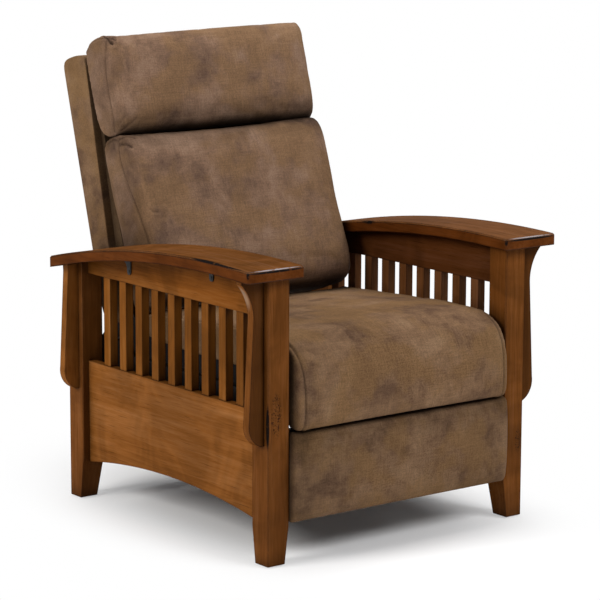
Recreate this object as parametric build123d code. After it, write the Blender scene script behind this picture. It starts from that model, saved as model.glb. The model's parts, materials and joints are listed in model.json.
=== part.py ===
from build123d import *
import math
import os

# Push-back mission armchair, in millimetres.
# X runs across the chair, Y from front to back and Z up from the floor.
# Left and right are the sitter's own: the left side is +X.
# While it is built, Y is zero at the front face of the front posts.
# At the end everything moves so that the origin is at the bottom centre of the whole box.

# Wooden side frames
posts_outer_width = 694.0
post_size = 55.0
post_pitch_y = 687.5
foot_size = 43.0
foot_taper_height = 98.0
post_edge = 2.0
glide_radius = 12.0
glide_thickness = 3.0
panel_thickness = 19.0
panel_inset = 17.0
panel_top = 317.0
panel_end_height = 86.0
panel_arch_height = 115.0
rail_bottom = 515.0
rail_thickness = 20.0
slat_count = 9
slat_width = 25.0
slat_thickness = 19.0
slat_setback = 2.0
slat_pitch = 61.6
slat_middle_y = 368.0
glue_line = 0.1

# Arm boards, a band of two concentric arcs
arm_thickness = 24.0
arm_top_radius = 2690.0
arm_apex_y = 110.0
arm_apex_z = 627.5
arm_front_overhang = 23.0
arm_rear_overhang = 0.0
arm_inner_overhang = 22.0
arm_outer_overhang_front = 67.6
arm_outer_overhang_rear = 50.0
arm_corner_radius = 9.0
arm_bevel = 3.0

# Corbels under the arms
corbel_thickness = 20.0
corbel_setback = 13.0
corbel_top_projection = 56.0
corbel_lip = 11.0
corbel_neck_projection = 26.5
corbel_neck_drop = 77.5
corbel_curve_projection = 35.0
corbel_belly_projection = 37.5
corbel_belly_rise = 33.0
corbel_toe_projection = 31.0
corbel_toe_rise = 18.0
corbel_foot_projection = 10.0
corbel_bottom = 255.0
corbel_edge = 2.0

# Stretchers and the cleats that carry the mechanism
stretcher_front_y = 62.0
stretcher_front_bottom = 95.0
stretcher_front_height = 31.0
stretcher_rear_inset = 14.0
stretcher_rear_bottom = 118.0
stretcher_rear_height = 70.0
stretcher_thickness = 22.0
cleat_thickness = 15.0
cleat_bottom = 196.0
cleat_height = 56.0

# Brackets that hold the arm boards on the rails
arm_bracket_width = 11.0
arm_bracket_leg = 17.0
arm_bracket_thickness = 2.5
arm_bracket_front_y = 225.0
arm_bracket_rear_y = 520.0
bracket_screw_radius = 3.2
bracket_screw_head = 1.6

# Flat steel of the mechanism, in layers counted inwards from the cleat
plate = 3.5
layer_gap = 1.0
bar_width = 22.0
hub_radius = 13.0
stud_radius = 4.0
stud_head_radius = 7.0
stud_head = 1.5
head_gap = 0.25
running_clearance = 0.05
closing_clearance = 0.15
tube_radius = 7.5
tube_wall = 1.5

# Pivots in the side view, as (Y, Z) at rest
carrier_front_length = 100.0
carrier_front_angle = 35.0
carrier_front_top_y = 320.0
carrier_rear_top_y = 560.0
carrier_top_z = 312.0
carrier_rear_base_y = 520.3
carrier_rear_base_z = 226.6
swing_front_y = 190.0
swing_front_z = 297.0
swing_length = 190.0
swing_angle = 26.0
swing_spacing_y = 56.0
swing_spacing_z = 8.0
push_bar_offset = 40.0
bracket_lower_y = 74.0
bracket_lower_z = 225.0
drive_crank_reach = 25.0
drive_crank_rise = 6.0
drive_lever_reach = 18.0
drive_lever_drop = 18.0
swing_bar_width = 18.0
tail_bar_width = 17.0
carrier_rear_play = 1.3
drive_play = 0.8
swing_tube_share = 0.5
base_plate_hub = 20.0
base_screw_radius = 4.0
base_screw_head = 2.0

# Seat: steel plates, wooden frame, springs, cushion
seat_plate_front = 160.0
seat_plate_bottom = 300.0
seat_flange_bottom = 336.0
seat_flange_width = 37.0
notch_width = 17.0
notch_shift = 0.7
pivot_back_y = 600.0
pivot_back_z = 345.0
back_pivot_lug = 15.0
seat_rail_thickness = 25.0
seat_rail_side_gap = 4.0
seat_rail_height = 38.5
seat_front_rail_y = 30.0
seat_front_rail_bottom = 290.0
seat_rear_rail_y = 550.0
spring_count = 4
spring_loops = 8
spring_half_width = 26.0
spring_wire = 3.5
spring_top_gap = 1.5
cushion_side_gap = 16.0
cushion_gap = 0.5
cushion_bottom_gap = 2.0
cushion_front_drop = 283.0
cushion_nose_y = -26.0
cushion_nose_z = 362.0
cushion_chin_y = -10.0
cushion_brow_y = 62.0
cushion_brow_z = 463.0
cushion_rear_y = 545.0
cushion_rear_z = 446.0
cushion_rear_round = 28.0
cushion_crown = 10.0
cushion_draw = 9.0
cushion_sag_rise = 2.0
cloth_thickness = 1.5
cloth_front_y = 62.0
cloth_rear_y = 542.0
cloth_top = 441.0

# Footrest: board, pad and steel brackets
pad_side_gap = 6.0
pad_bottom = 88.0
pad_top = 279.0
pad_front_y = -19.0
pad_crown = 7.0
pad_draw = 9.0
pad_side_step = 10.0
board_front_y = 20.3
board_thickness = 16.0
board_margin = 9.0
bracket_flange_width = 44.0
bracket_flange_bottom = 186.0
bracket_flange_height = 88.0

# Back, drawn upright about its pivot and then leaned
back_lean = 16.5
back_side_gap = 8.0
slab_bottom = 58.0
slab_top = 674.0
slab_rear_bottom = 103.5
slab_rear_top = 92.0
slab_front_bottom = 48.5
slab_front_top = 5.0
slab_round = 6.0
slab_top_round = 16.0
slab_top_drop = 4.0
frame_front_y = 5.0
frame_depth = 40.0
stile_width = 22.5
stile_inset = 16.3
stile_bottom = 62.0
stile_top = 640.0
frame_rail_height = 40.0
frame_rail_middle = 300.0
fit_gap = 0.3
back_bracket_shelf = 35.0
back_bracket_top = 190.0
back_bracket_width = 32.0

# Lower back cushion, as depths in front of the pivot line and heights up the back
lumbar_side_gap = 1.0
lumbar_bottom = 80.0
lumbar_belly_height = 135.0
lumbar_middle_height = 270.0
lumbar_shoulder_height = 415.0
lumbar_top = 468.0
lumbar_belly_depth = 157.0
lumbar_middle_depth = 137.0
lumbar_shoulder_depth = 131.0
lumbar_side_draw = 46.0
lumbar_middle_draw_share = 0.45
lumbar_belly_draw_share = 0.15
lumbar_chin_depth = 92.0
lumbar_chin_rise = 20.0

# Headrest pillow, in the same terms
pillow_side_reach = 1.5
pillow_bottom = 473.0
pillow_top = 696.0
pillow_depth = 106.0
pillow_side_draw = 38.0
pillow_end_step = 9.0
pillow_round = 34.0

# Share of a spring's pitch that its clipped corners take
spring_clip_share = 0.3

# Shares of the way between the fixed pivots at which the base plate is screwed on
base_screw_shares = (0.25, 0.5, 0.75)

# Share of a corbel's hollow below its lip at which its middle point stands
corbel_curve_share = 0.6

# Sides of a pin, and straight runs of an arc in a soft piece's section
pin_sides = 16
soft_arc_steps = 4

# Share of a bar's half width that is clipped off to make an octagon's end
octagon_share = 2 - math.sqrt(2)

# Shares of a cushion's half width: where its sections stand and where its edge starts to round
across_shares = (-1, -0.96, -0.88, -0.45, 0, 0.45, 0.88, 0.96, 1)
round_start_share = 0.88

overrun = 50.0

# Derived places
posts_half = posts_outer_width / 2
post_inner = posts_half - post_size
rear_post_front = post_pitch_y
rear_post_back = post_pitch_y + post_size
panel_outer = posts_half - panel_inset
panel_inner = panel_outer - panel_thickness
arm_inner = post_inner - arm_inner_overhang
arm_outer_front = posts_half + arm_outer_overhang_front
arm_outer_rear = posts_half + arm_outer_overhang_rear
corbel_toe_height = corbel_bottom + corbel_toe_rise
corbel_belly_height = corbel_toe_height + corbel_belly_rise
arm_front_y = -arm_front_overhang
arm_rear_y = rear_post_back + arm_rear_overhang
arm_centre_z = arm_apex_z - arm_top_radius
arm_under_radius = arm_top_radius - arm_thickness
cleat_inner = panel_inner - cleat_thickness
layer_pitch = plate + layer_gap
base_layer = cleat_inner - plate
carrier_layer = base_layer - layer_pitch
seat_layer = carrier_layer - layer_pitch
swing_layer = seat_layer - layer_pitch
lower_bar_layer = swing_layer - layer_pitch
upper_bar_layer = lower_bar_layer - layer_pitch
bracket_layer = upper_bar_layer - layer_pitch
seat_rail_bottom = seat_flange_bottom + plate
seat_flange_inner = seat_layer + plate - seat_flange_width
cushion_half_width = post_inner - cushion_side_gap
seat_half_width = cushion_half_width - seat_rail_side_gap
spring_pitch_x = 2 * (seat_half_width - seat_rail_thickness) / spring_count
pad_half_width = post_inner - pad_side_gap
back_half_width = arm_inner - back_side_gap
stile_outer = back_half_width - stile_inset
lumbar_half_width = arm_inner - lumbar_side_gap
pillow_half_width = arm_inner + pillow_side_reach
seat_rail_top = seat_rail_bottom + seat_rail_height
cushion_bottom = seat_rail_top + spring_wire + cushion_bottom_gap
cushion_inside_y = seat_front_rail_y - cushion_gap


def down_from(pivot, length, lean):
    """Point at a length below a pivot, leaned to the rear by an angle in degrees."""
    angle = math.radians(lean)
    return (pivot[0] + length * math.sin(angle), pivot[1] - length * math.cos(angle))


def moved(point, dy, dz):
    return (point[0] + dy, point[1] + dz)


def between(start, end, share):
    return (start[0] + share * (end[0] - start[0]), start[1] + share * (end[1] - start[1]))


pivot_carrier_front_top = (carrier_front_top_y, carrier_top_z)
pivot_carrier_rear_top = (carrier_rear_top_y, carrier_top_z)
pivot_carrier_rear_base = (carrier_rear_base_y, carrier_rear_base_z)
pivot_swing_front = (swing_front_y, swing_front_z)
pivot_bracket_lower = (bracket_lower_y, bracket_lower_z)
pivot_back = (pivot_back_y, pivot_back_z)
pivot_carrier_front_base = down_from(pivot_carrier_front_top, carrier_front_length, -carrier_front_angle)
pivot_swing_rear = moved(pivot_swing_front, swing_spacing_y, swing_spacing_z)
pivot_bar_lower = down_from(pivot_swing_front, swing_length, swing_angle)
pivot_bar_upper = down_from(pivot_swing_front, swing_length - push_bar_offset, swing_angle)
pivot_bar_rear = moved(pivot_bar_lower, swing_spacing_y, swing_spacing_z)
pivot_bracket_upper = moved(
    pivot_bracket_lower,
    pivot_bar_upper[0] - pivot_bar_lower[0],
    pivot_bar_upper[1] - pivot_bar_lower[1],
)
pivot_drive_crank = moved(pivot_carrier_front_top, -drive_crank_reach, drive_crank_rise)
pivot_drive_lever = moved(pivot_swing_rear, -drive_lever_reach, -drive_lever_drop)


# Helpers for shapes drawn in the side view

def side_face(*edges):
    """Face in the side view from edges whose x is Y and y is Z."""
    return make_face(Wire([run for edge in edges for run in edge.edges()]))


def side_plate(face, x_inner, thickness):
    """Flat piece standing in the side view from x_inner outwards."""
    return extrude(Plane.YZ.offset(x_inner) * face, amount=thickness)


def bar_face(start, end, width):
    """Strip between two pivots, with its ends clipped to half an octagon."""
    half = width / 2
    length = math.dist(start, end) + width
    angle = math.degrees(math.atan2(end[1] - start[1], end[0] - start[0]))
    middle = between(start, end, 1 / 2)
    strip = Rectangle(length, width)
    strip = chamfer(strip.vertices(), half * octagon_share)
    return Pos(middle[0], middle[1]) * Rot(0, 0, angle) * strip


def disc_face(point, radius):
    return Pos(point[0], point[1]) * Circle(radius)


def box_face(y0, y1, z0, z1):
    """Rectangle in the side view between two corners."""
    return Pos((y0 + y1) / 2, (z0 + z1) / 2) * Rectangle(y1 - y0, z1 - z0)


def block(x0, x1, y0, y1, z0, z1):
    """Box between two corners."""
    return Pos((x0 + x1) / 2, (y0 + y1) / 2, (z0 + z1) / 2) * Box(x1 - x0, y1 - y0, z1 - z0)


def pin(point, radius, x0, x1):
    """Bar across the chair from x0 to x1, its round drawn with few sides to keep the mesh light."""
    return side_plate(Pos(point[0], point[1]) * RegularPolygon(radius, pin_sides), x0, x1 - x0)


def soft_arc(start, middle, end):
    """Straight runs along an arc through three points, for the sections of soft pieces."""
    arc = ThreePointArc(start, middle, end)
    return Polyline(*[arc @ (step / soft_arc_steps) for step in range(soft_arc_steps + 1)])


def hex_head(point, radius, x0, x1):
    """Six-sided head or nut across the chair from x0 to x1."""
    return side_plate(Pos(point[0], point[1]) * RegularPolygon(radius, 6), x0, x1 - x0)


def inner_stud(point, layer_from, layer_to):
    """Stud that leaves a bar's inner face, passes the bar at layer_to and ends in a nut."""
    head_outer = layer_to - head_gap
    shank = pin(point, stud_radius, head_outer, layer_from)
    return shank + hex_head(point, stud_head_radius, head_outer - stud_head, head_outer)


def rivet(point, layer_in, layer_out, flush_inside=False, flush_outside=False):
    """Loose rivet through the bars from layer_in to layer_out, with a head or a flush end each side."""
    inner = layer_in
    outer = layer_out + plate
    if not flush_inside:
        inner -= head_gap
    if not flush_outside:
        outer += head_gap
    solid = pin(point, stud_radius, inner, outer)
    if not flush_inside:
        solid += hex_head(point, stud_head_radius, inner - stud_head, inner)
    if not flush_outside:
        solid += hex_head(point, stud_head_radius, outer, outer + stud_head)
    return solid


def mirrored(solid):
    return solid.mirror(Plane.YZ)


def both_sides(solid):
    """The left solid and its mirror image, kept as separate solids."""
    return [solid, mirrored(solid)]


# Wooden side frames

def arm_arc_z(y, radius):
    return arm_centre_z + math.sqrt(radius**2 - (y - arm_apex_y) ** 2)


def under_arm(margin):
    """Solid disc under the arm boards, used to trim what stands below them."""
    disc = disc_face((arm_apex_y, arm_centre_z), arm_under_radius - margin)
    column = box_face(arm_front_y - overrun, arm_rear_y + overrun, 0, arm_apex_z)
    return side_plate(disc & column, 0, arm_outer_front + overrun)


def post(y_front, tapers_to_rear):
    """Square post with a foot tapered on its two inward sides."""
    taper = post_size - foot_size
    y_rear = y_front + post_size
    foot_front = y_front if tapers_to_rear else y_front + taper
    foot_rear = y_rear - taper if tapers_to_rear else y_rear
    side = make_face(Polyline(
        (foot_front, glide_thickness), (foot_rear, glide_thickness), (y_rear, foot_taper_height),
        (y_rear, arm_apex_z), (y_front, arm_apex_z), (y_front, foot_taper_height), close=True,
    ))
    front = make_face(Polyline(
        (post_inner + taper, glide_thickness), (posts_half, glide_thickness), (posts_half, arm_apex_z),
        (post_inner, arm_apex_z), (post_inner, foot_taper_height), close=True,
    ))
    body = side_plate(side, post_inner, post_size)
    across = extrude(Plane.XZ.offset(-y_rear - overrun) * front, amount=post_size + 2 * overrun)
    body = body & across
    upright = body.edges().filter_by(Axis.Z).filter_by(lambda e: e.length > arm_apex_z / 2)
    body = chamfer(upright, post_edge)
    return body & under_arm(glue_line)


def side_panel():
    """Lower panel with its arched bottom edge."""
    y0, y1 = post_size, rear_post_front
    face = side_face(
        Line((y0, panel_end_height), (y0, panel_top)),
        Line((y0, panel_top), (y1, panel_top)),
        Line((y1, panel_top), (y1, panel_end_height)),
        ThreePointArc((y1, panel_end_height), ((y0 + y1) / 2, panel_arch_height), (y0, panel_end_height)),
    )
    return side_plate(face, panel_inner, panel_thickness)


def arm_rail():
    """Rail whose straight bottom takes the slats and whose top follows the arm board."""
    face = box_face(post_size, rear_post_front, rail_bottom, arm_apex_z)
    rail = side_plate(face, panel_outer - rail_thickness, rail_thickness)
    return rail & under_arm(glue_line)


def slats():
    """Row of upright slats between the panel and the rail."""
    x_inner = panel_outer - slat_setback - slat_thickness
    first = slat_middle_y - slat_pitch * (slat_count - 1) / 2
    row = []
    for index in range(slat_count):
        y = first + index * slat_pitch
        row.append(side_plate(box_face(y - slat_width / 2, y + slat_width / 2, panel_top, rail_bottom),
                              x_inner, slat_thickness))
    return row


def corbel(y_front):
    """Shaped bracket on a post's outer face, under the arm board."""
    x = posts_half
    lip = arm_apex_z - arm_thickness - corbel_lip
    neck = lip - corbel_neck_drop
    curve = neck + corbel_neck_drop * corbel_curve_share
    face = side_face(
        Line((x, arm_apex_z), (x + corbel_top_projection, arm_apex_z)),
        Line((x + corbel_top_projection, arm_apex_z), (x + corbel_top_projection, lip)),
        ThreePointArc((x + corbel_top_projection, lip), (x + corbel_curve_projection, curve),
                      (x + corbel_neck_projection, neck)),
        Line((x + corbel_neck_projection, neck), (x + corbel_belly_projection, corbel_belly_height)),
        ThreePointArc((x + corbel_belly_projection, corbel_belly_height),
                      (x + corbel_toe_projection, corbel_toe_height), (x + corbel_foot_projection, corbel_bottom)),
        Line((x + corbel_foot_projection, corbel_bottom), (x, corbel_bottom)),
        Line((x, corbel_bottom), (x, arm_apex_z)),
    )
    solid = extrude(Plane.XZ.offset(-y_front - corbel_thickness) * face, amount=corbel_thickness)
    return solid & under_arm(glue_line)


def arm_board():
    """Bowed arm board, a little narrower at the rear, with rounded front corners and bevelled edges."""
    ring = disc_face((arm_apex_y, arm_centre_z), arm_top_radius)
    ring -= disc_face((arm_apex_y, arm_centre_z), arm_under_radius)
    lowest = arm_arc_z(arm_rear_y, arm_under_radius) - overrun
    band = ring & box_face(arm_front_y - overrun, arm_rear_y + overrun, lowest, arm_apex_z + overrun)
    board = side_plate(band, arm_inner - overrun, arm_outer_front - arm_inner + 2 * overrun)
    plan = make_face(Polyline(
        (arm_inner, arm_front_y), (arm_outer_front, arm_front_y), (arm_outer_rear, arm_rear_y),
        (arm_inner, arm_rear_y), close=True,
    ))
    plan = fillet(plan.vertices(), arm_corner_radius)
    board = board & extrude(Pos(0, 0, lowest) * plan, amount=arm_apex_z + overrun - lowest)
    top = board.faces().sort_by(Axis.Z)[-1]
    return chamfer(top.edges(), arm_bevel)


def arm_brackets():
    """Small steel angles that screw the arm boards to the rails from outside."""
    solids = []
    for y in (arm_bracket_front_y, arm_bracket_rear_y):
        top = arm_arc_z(y + arm_bracket_width, arm_under_radius) - glue_line
        y1 = y + arm_bracket_width
        upright = block(panel_outer, panel_outer + arm_bracket_thickness, y, y1, top - arm_bracket_leg, top)
        shelf = block(panel_outer, panel_outer + arm_bracket_leg, y, y1, top - arm_bracket_thickness, top)
        head_start = panel_outer + arm_bracket_thickness
        screw_place = (y + arm_bracket_width / 2, top - arm_bracket_leg + 2 * bracket_screw_radius)
        screw = hex_head(screw_place, bracket_screw_radius, head_start, head_start + bracket_screw_head)
        solids += both_sides(upright + shelf + screw)
    return solids


def stretcher_front():
    y = stretcher_front_y
    top = stretcher_front_bottom + stretcher_front_height
    return block(-panel_inner, panel_inner, y, y + stretcher_thickness, stretcher_front_bottom, top)


def stretcher_rear():
    y = rear_post_front + stretcher_rear_inset
    top = stretcher_rear_bottom + stretcher_rear_height
    return block(-post_inner, post_inner, y, y + stretcher_thickness, stretcher_rear_bottom, top)


def cleat():
    """Hardwood batten inside the side panel that carries the mechanism."""
    cleat_top = cleat_bottom + cleat_height
    return block(cleat_inner, panel_inner, post_size, rear_post_front, cleat_bottom, cleat_top)


def foot_glides():
    middle_x = posts_half - foot_size / 2
    solids = []
    for y in (foot_size / 2, rear_post_back - foot_size / 2):
        for x in (middle_x, -middle_x):
            solids.append(Pos(x, y, glide_thickness / 2) * Cylinder(glide_radius, glide_thickness))
    return solids


# Steel mechanism

def base_plate():
    """Plate on the cleat with the two fixed pivots."""
    front, rear = pivot_carrier_front_base, pivot_carrier_rear_base
    face = bar_face(front, rear, 2 * base_plate_hub)
    for point in (front, rear):
        face -= disc_face(point, stud_radius + running_clearance)
    return side_plate(face, base_layer, plate)


def base_rivets():
    solids = []
    for point in (pivot_carrier_front_base, pivot_carrier_rear_base):
        solids += both_sides(rivet(point, carrier_layer, base_layer, flush_outside=True))
    return solids


def base_screws():
    """Heads of the screws that hold the base plates to the cleats."""
    solids = []
    for share in base_screw_shares:
        point = between(pivot_carrier_front_base, pivot_carrier_rear_base, share)
        solids += both_sides(hex_head(point, base_screw_radius, base_layer - base_screw_head, base_layer))
    return solids


def carrier_front():
    """Front carrier link with the crank that pulls the drive link."""
    hole = stud_radius + running_clearance
    face = bar_face(pivot_carrier_front_base, pivot_carrier_front_top, bar_width)
    face += bar_face(pivot_carrier_front_top, pivot_drive_crank, bar_width)
    for point in (pivot_carrier_front_base, pivot_carrier_front_top):
        face -= disc_face(point, hole)
    link = side_plate(face, carrier_layer, plate)
    return link + inner_stud(pivot_drive_crank, carrier_layer, lower_bar_layer)


def carrier_rear():
    """Rear carrier link, whose top stud runs in an eased hole of the seat plate."""
    face = bar_face(pivot_carrier_rear_base, pivot_carrier_rear_top, bar_width)
    face -= disc_face(pivot_carrier_rear_base, stud_radius + running_clearance)
    link = side_plate(face, carrier_layer, plate)
    return link + inner_stud(pivot_carrier_rear_top, carrier_layer, seat_layer)


def cross_tube(point, x_end):
    """Round tube across the chair between a left and a right link."""
    ring = disc_face(point, tube_radius) - disc_face(point, tube_radius - tube_wall)
    return side_plate(ring, -x_end, 2 * x_end)


def carrier_tube():
    return cross_tube(between(pivot_carrier_rear_base, pivot_carrier_rear_top, 1 / 2), carrier_layer)


def swing_front():
    """Front swing arm with three pivots in line, and the studs of both push bars."""
    face = bar_face(pivot_swing_front, pivot_bar_lower, swing_bar_width)
    face -= disc_face(pivot_swing_front, stud_radius + running_clearance)
    arm = side_plate(face, swing_layer, plate)
    arm += inner_stud(pivot_bar_lower, swing_layer, lower_bar_layer)
    return arm + inner_stud(pivot_bar_upper, swing_layer, upper_bar_layer)


def swing_tube():
    return cross_tube(between(pivot_swing_front, pivot_bar_lower, swing_tube_share), swing_layer)


def swing_rear():
    """Rear swing arm with the lever that the drive link turns."""
    face = bar_face(pivot_swing_rear, pivot_bar_rear, swing_bar_width)
    face += bar_face(pivot_swing_rear, pivot_drive_lever, 2 * stud_head_radius)
    face -= disc_face(pivot_swing_rear, stud_radius + running_clearance)
    arm = side_plate(face, swing_layer, plate)
    arm += inner_stud(pivot_bar_rear, swing_layer, lower_bar_layer)
    return arm + inner_stud(pivot_drive_lever, swing_layer, lower_bar_layer)


def push_bar_lower():
    """Cranked bar from both swing arms to the footrest bracket's lower hole."""
    face = bar_face(pivot_bar_lower, pivot_bracket_lower, bar_width)
    face += bar_face(pivot_bar_lower, pivot_bar_rear, tail_bar_width)
    face -= disc_face(pivot_bar_lower, stud_radius + running_clearance)
    face -= disc_face(pivot_bar_rear, stud_radius + closing_clearance)
    bar = side_plate(face, lower_bar_layer, plate)
    return bar + inner_stud(pivot_bracket_lower, lower_bar_layer, bracket_layer)


def push_bar_upper():
    """Straight bar from the front swing arm to the footrest bracket's upper hole."""
    face = bar_face(pivot_bar_upper, pivot_bracket_upper, bar_width)
    face -= disc_face(pivot_bar_upper, stud_radius + running_clearance)
    face -= disc_face(pivot_bracket_upper, stud_radius + closing_clearance)
    return side_plate(face, upper_bar_layer, plate)


def drive_link():
    """Short link from the front carrier's crank to the rear swing arm's lever."""
    face = bar_face(pivot_drive_crank, pivot_drive_lever, tail_bar_width)
    face -= disc_face(pivot_drive_crank, stud_radius + drive_play)
    face -= disc_face(pivot_drive_lever, stud_radius + running_clearance)
    return side_plate(face, lower_bar_layer, plate)


def footrest_bracket():
    """Steel angle behind the footrest board with the two push bar holes."""
    rear = board_front_y + board_thickness
    lower, upper = pivot_bracket_lower, pivot_bracket_upper
    face = bar_face(lower, upper, bar_width)
    face += bar_face((rear + bar_width / 2, lower[1]), lower, bar_width)
    top = bracket_flange_bottom + bracket_flange_height
    face += box_face(rear, rear + bar_width / 2, bracket_flange_bottom, top)
    face -= box_face(rear - overrun, rear, 0, arm_apex_z)
    face -= disc_face(lower, stud_radius + running_clearance)
    web = side_plate(face, bracket_layer, plate)
    x_outer = bracket_layer + plate
    flange = block(x_outer - bracket_flange_width, x_outer, rear, rear + plate, bracket_flange_bottom, top)
    head_inner = upper_bar_layer + plate + head_gap
    shank = pin(upper, stud_radius, x_outer, head_inner)
    return web + flange + shank + hex_head(upper, stud_head_radius, head_inner, head_inner + stud_head)


# Seat

def seat_plate():
    """Angle under the seat frame with the pivots of carriers, swing arms and back."""
    bottom, top = seat_plate_bottom, seat_flange_bottom + plate
    web_rear = pivot_carrier_rear_top[0] + hub_radius
    face = box_face(seat_plate_front, web_rear, bottom, top)
    face += bar_face(pivot_swing_front, pivot_swing_rear, 2 * hub_radius)
    for point in (pivot_carrier_front_top, pivot_carrier_rear_top):
        face += bar_face(point, moved(point, 0, hub_radius), 2 * hub_radius)
    face += bar_face(pivot_carrier_rear_top, pivot_back, 2 * back_pivot_lug)
    notch_top = moved(pivot_drive_crank, notch_shift, 0)
    face -= box_face(notch_top[0] - notch_width / 2, notch_top[0] + notch_width / 2, 0, notch_top[1])
    face -= disc_face(notch_top, notch_width / 2)
    hole = stud_radius + running_clearance
    for point in (pivot_swing_front, pivot_swing_rear, pivot_carrier_front_top, pivot_back):
        face -= disc_face(point, hole)
    face -= disc_face(pivot_carrier_rear_top, stud_radius + carrier_rear_play)
    web = side_plate(face, seat_layer, plate)
    flange = block(seat_flange_inner, seat_layer + plate, seat_plate_front, web_rear, seat_flange_bottom, top)
    return web + flange


def seat_rivets():
    left = [
        rivet(pivot_swing_front, swing_layer, seat_layer),
        rivet(pivot_swing_rear, swing_layer, seat_layer, flush_inside=True),
        rivet(pivot_carrier_front_top, seat_layer, carrier_layer),
        rivet(pivot_back, swing_layer, seat_layer),
    ]
    return [solid for rivet_left in left for solid in both_sides(rivet_left)]


def seat_rail_side():
    x0 = seat_half_width - seat_rail_thickness
    y0 = seat_front_rail_y + seat_rail_thickness
    y1 = seat_rear_rail_y + seat_rail_thickness
    return block(x0, seat_half_width, y0, y1, seat_rail_bottom, seat_rail_top)


def seat_rail_front():
    y1 = seat_front_rail_y + seat_rail_thickness
    return block(-seat_half_width, seat_half_width, seat_front_rail_y, y1, seat_front_rail_bottom, seat_rail_top)


def seat_rail_rear():
    x = seat_half_width - seat_rail_thickness
    y1 = seat_rear_rail_y + seat_rail_thickness
    return block(-x, x, seat_rear_rail_y, y1, seat_rail_bottom, seat_rail_top)


def seat_springs():
    """Zigzag springs from the front rail to the rear rail, each one flat ribbon with clipped bends."""
    y0 = seat_front_rail_y + seat_rail_thickness / 2
    y1 = seat_rear_rail_y + seat_rail_thickness / 2
    pitch = (y1 - y0) / spring_loops
    clip = pitch * spring_clip_share
    solids = []
    for index in range(spring_count):
        x = (index - (spring_count - 1) / 2) * spring_pitch_x
        points = [(x, y0)]
        for loop in range(spring_loops):
            way = 1 if loop % 2 else -1
            start = y0 + loop * pitch
            points.append((x + way * (spring_half_width - clip), start))
            points.append((x + way * spring_half_width, start + clip))
            points.append((x + way * spring_half_width, start + pitch - clip))
            points.append((x + way * (spring_half_width - clip), start + pitch))
        points.append((x, y1))
        ribbon = trace(Polyline(*points), spring_wire)
        solids.append(extrude(Pos(0, 0, seat_rail_top) * ribbon, amount=spring_wire))
    return solids


def cushion_section(x, crown, draw):
    """Side profile of the seat cushion at one place across the seat."""
    nose = cushion_nose_y + draw
    top = cushion_brow_z + crown
    rear_top = cushion_rear_z
    rear = cushion_rear_y
    chin = (cushion_chin_y + draw / 2, cushion_front_drop)
    brow = (cushion_brow_y + draw, top)
    cheek = (nose + (brow[0] - nose) / 4, (cushion_nose_z + 3 * top) / 4)
    fall = (rear - cushion_rear_round, rear_top)
    edge = (rear, rear_top - cushion_rear_round)
    corner_share = 1 / math.sqrt(2)
    corner = (fall[0] + cushion_rear_round * corner_share, edge[1] + cushion_rear_round * corner_share)
    jaw = ((chin[0] + 3 * nose) / 4, (chin[1] * 3 + cushion_nose_z) / 4)
    seat_middle = ((brow[0] + fall[0]) / 2, (brow[1] + fall[1]) / 2 + cushion_sag_rise)
    section = side_face(
        Line((cushion_inside_y, cushion_bottom), (cushion_inside_y, cushion_front_drop)),
        Line((cushion_inside_y, cushion_front_drop), chin),
        soft_arc(chin, jaw, (nose, cushion_nose_z)),
        soft_arc((nose, cushion_nose_z), cheek, brow),
        soft_arc(brow, seat_middle, fall),
        soft_arc(fall, corner, edge),
        Line(edge, (rear, cushion_bottom)),
        Line((rear, cushion_bottom), (cushion_inside_y, cushion_bottom)),
    )
    return Plane.YZ.offset(x) * section


def crowned_stations(half_width, crown, draw):
    """Places across a cushion with their rise and their draw-in, from one side to the other."""
    stations = []
    for share in across_shares:
        edge = max(abs(share) - round_start_share, 0) / (1 - round_start_share)
        pull = 1 - math.sqrt(1 - edge**2)
        stations.append((share * half_width, crown * (1 - share**2), draw * pull))
    return stations


def seat_cushion():
    """Boxed cushion with a crown and a front that rolls down over the front rail."""
    sections = []
    for x, rise, draw in crowned_stations(cushion_half_width, cushion_crown, cushion_draw):
        sections.append(cushion_section(x, rise - draw, draw))
    return loft(sections, ruled=True)


def seat_side_cloth():
    """Dark cloth that closes the side of the seat from the rail to the cushion's seam."""
    x0 = cushion_half_width + cushion_gap
    return block(x0, x0 + cloth_thickness, cloth_front_y, cloth_rear_y, seat_rail_bottom + glue_line, cloth_top)


# Footrest

def footrest_board():
    x = pad_half_width - board_margin
    rear = board_front_y + board_thickness
    return block(-x, x, board_front_y, rear, pad_bottom + board_margin, pad_top - board_margin)


def pad_section(x, crown, draw):
    """Side profile of the footrest pad at one place across it."""
    front = pad_front_y - crown + draw
    back = board_front_y - fit_gap
    low = pad_bottom + draw
    high = pad_top - draw
    step = pad_side_step
    slope_share = 1 - 1 / math.sqrt(2)
    section = side_face(
        Line((back, high), (back, low)),
        Line((back, low), (front + 2 * step, low)),
        soft_arc((front + 2 * step, low), (front + 2 * step * slope_share, low + 2 * step * slope_share),
                      (front, low + 2 * step)),
        soft_arc((front, low + 2 * step), (front - crown / 2, (low + high) / 2), (front, high - 2 * step)),
        soft_arc((front, high - 2 * step), (front + 2 * step * slope_share, high - 2 * step * slope_share),
                      (front + 2 * step, high)),
        Line((front + 2 * step, high), (back, high)),
    )
    return Plane.YZ.offset(x) * section


def footrest_pad():
    sections = []
    for x, rise, draw in crowned_stations(pad_half_width, pad_crown, pad_draw):
        sections.append(pad_section(x, rise + glue_line, draw))
    return loft(sections, ruled=True)


# Back

def leaned(solid):
    """Places a back piece that was drawn upright about the pivot."""
    return Pos(0, pivot_back[0], pivot_back[1]) * Rot(-back_lean, 0, 0) * solid


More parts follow.
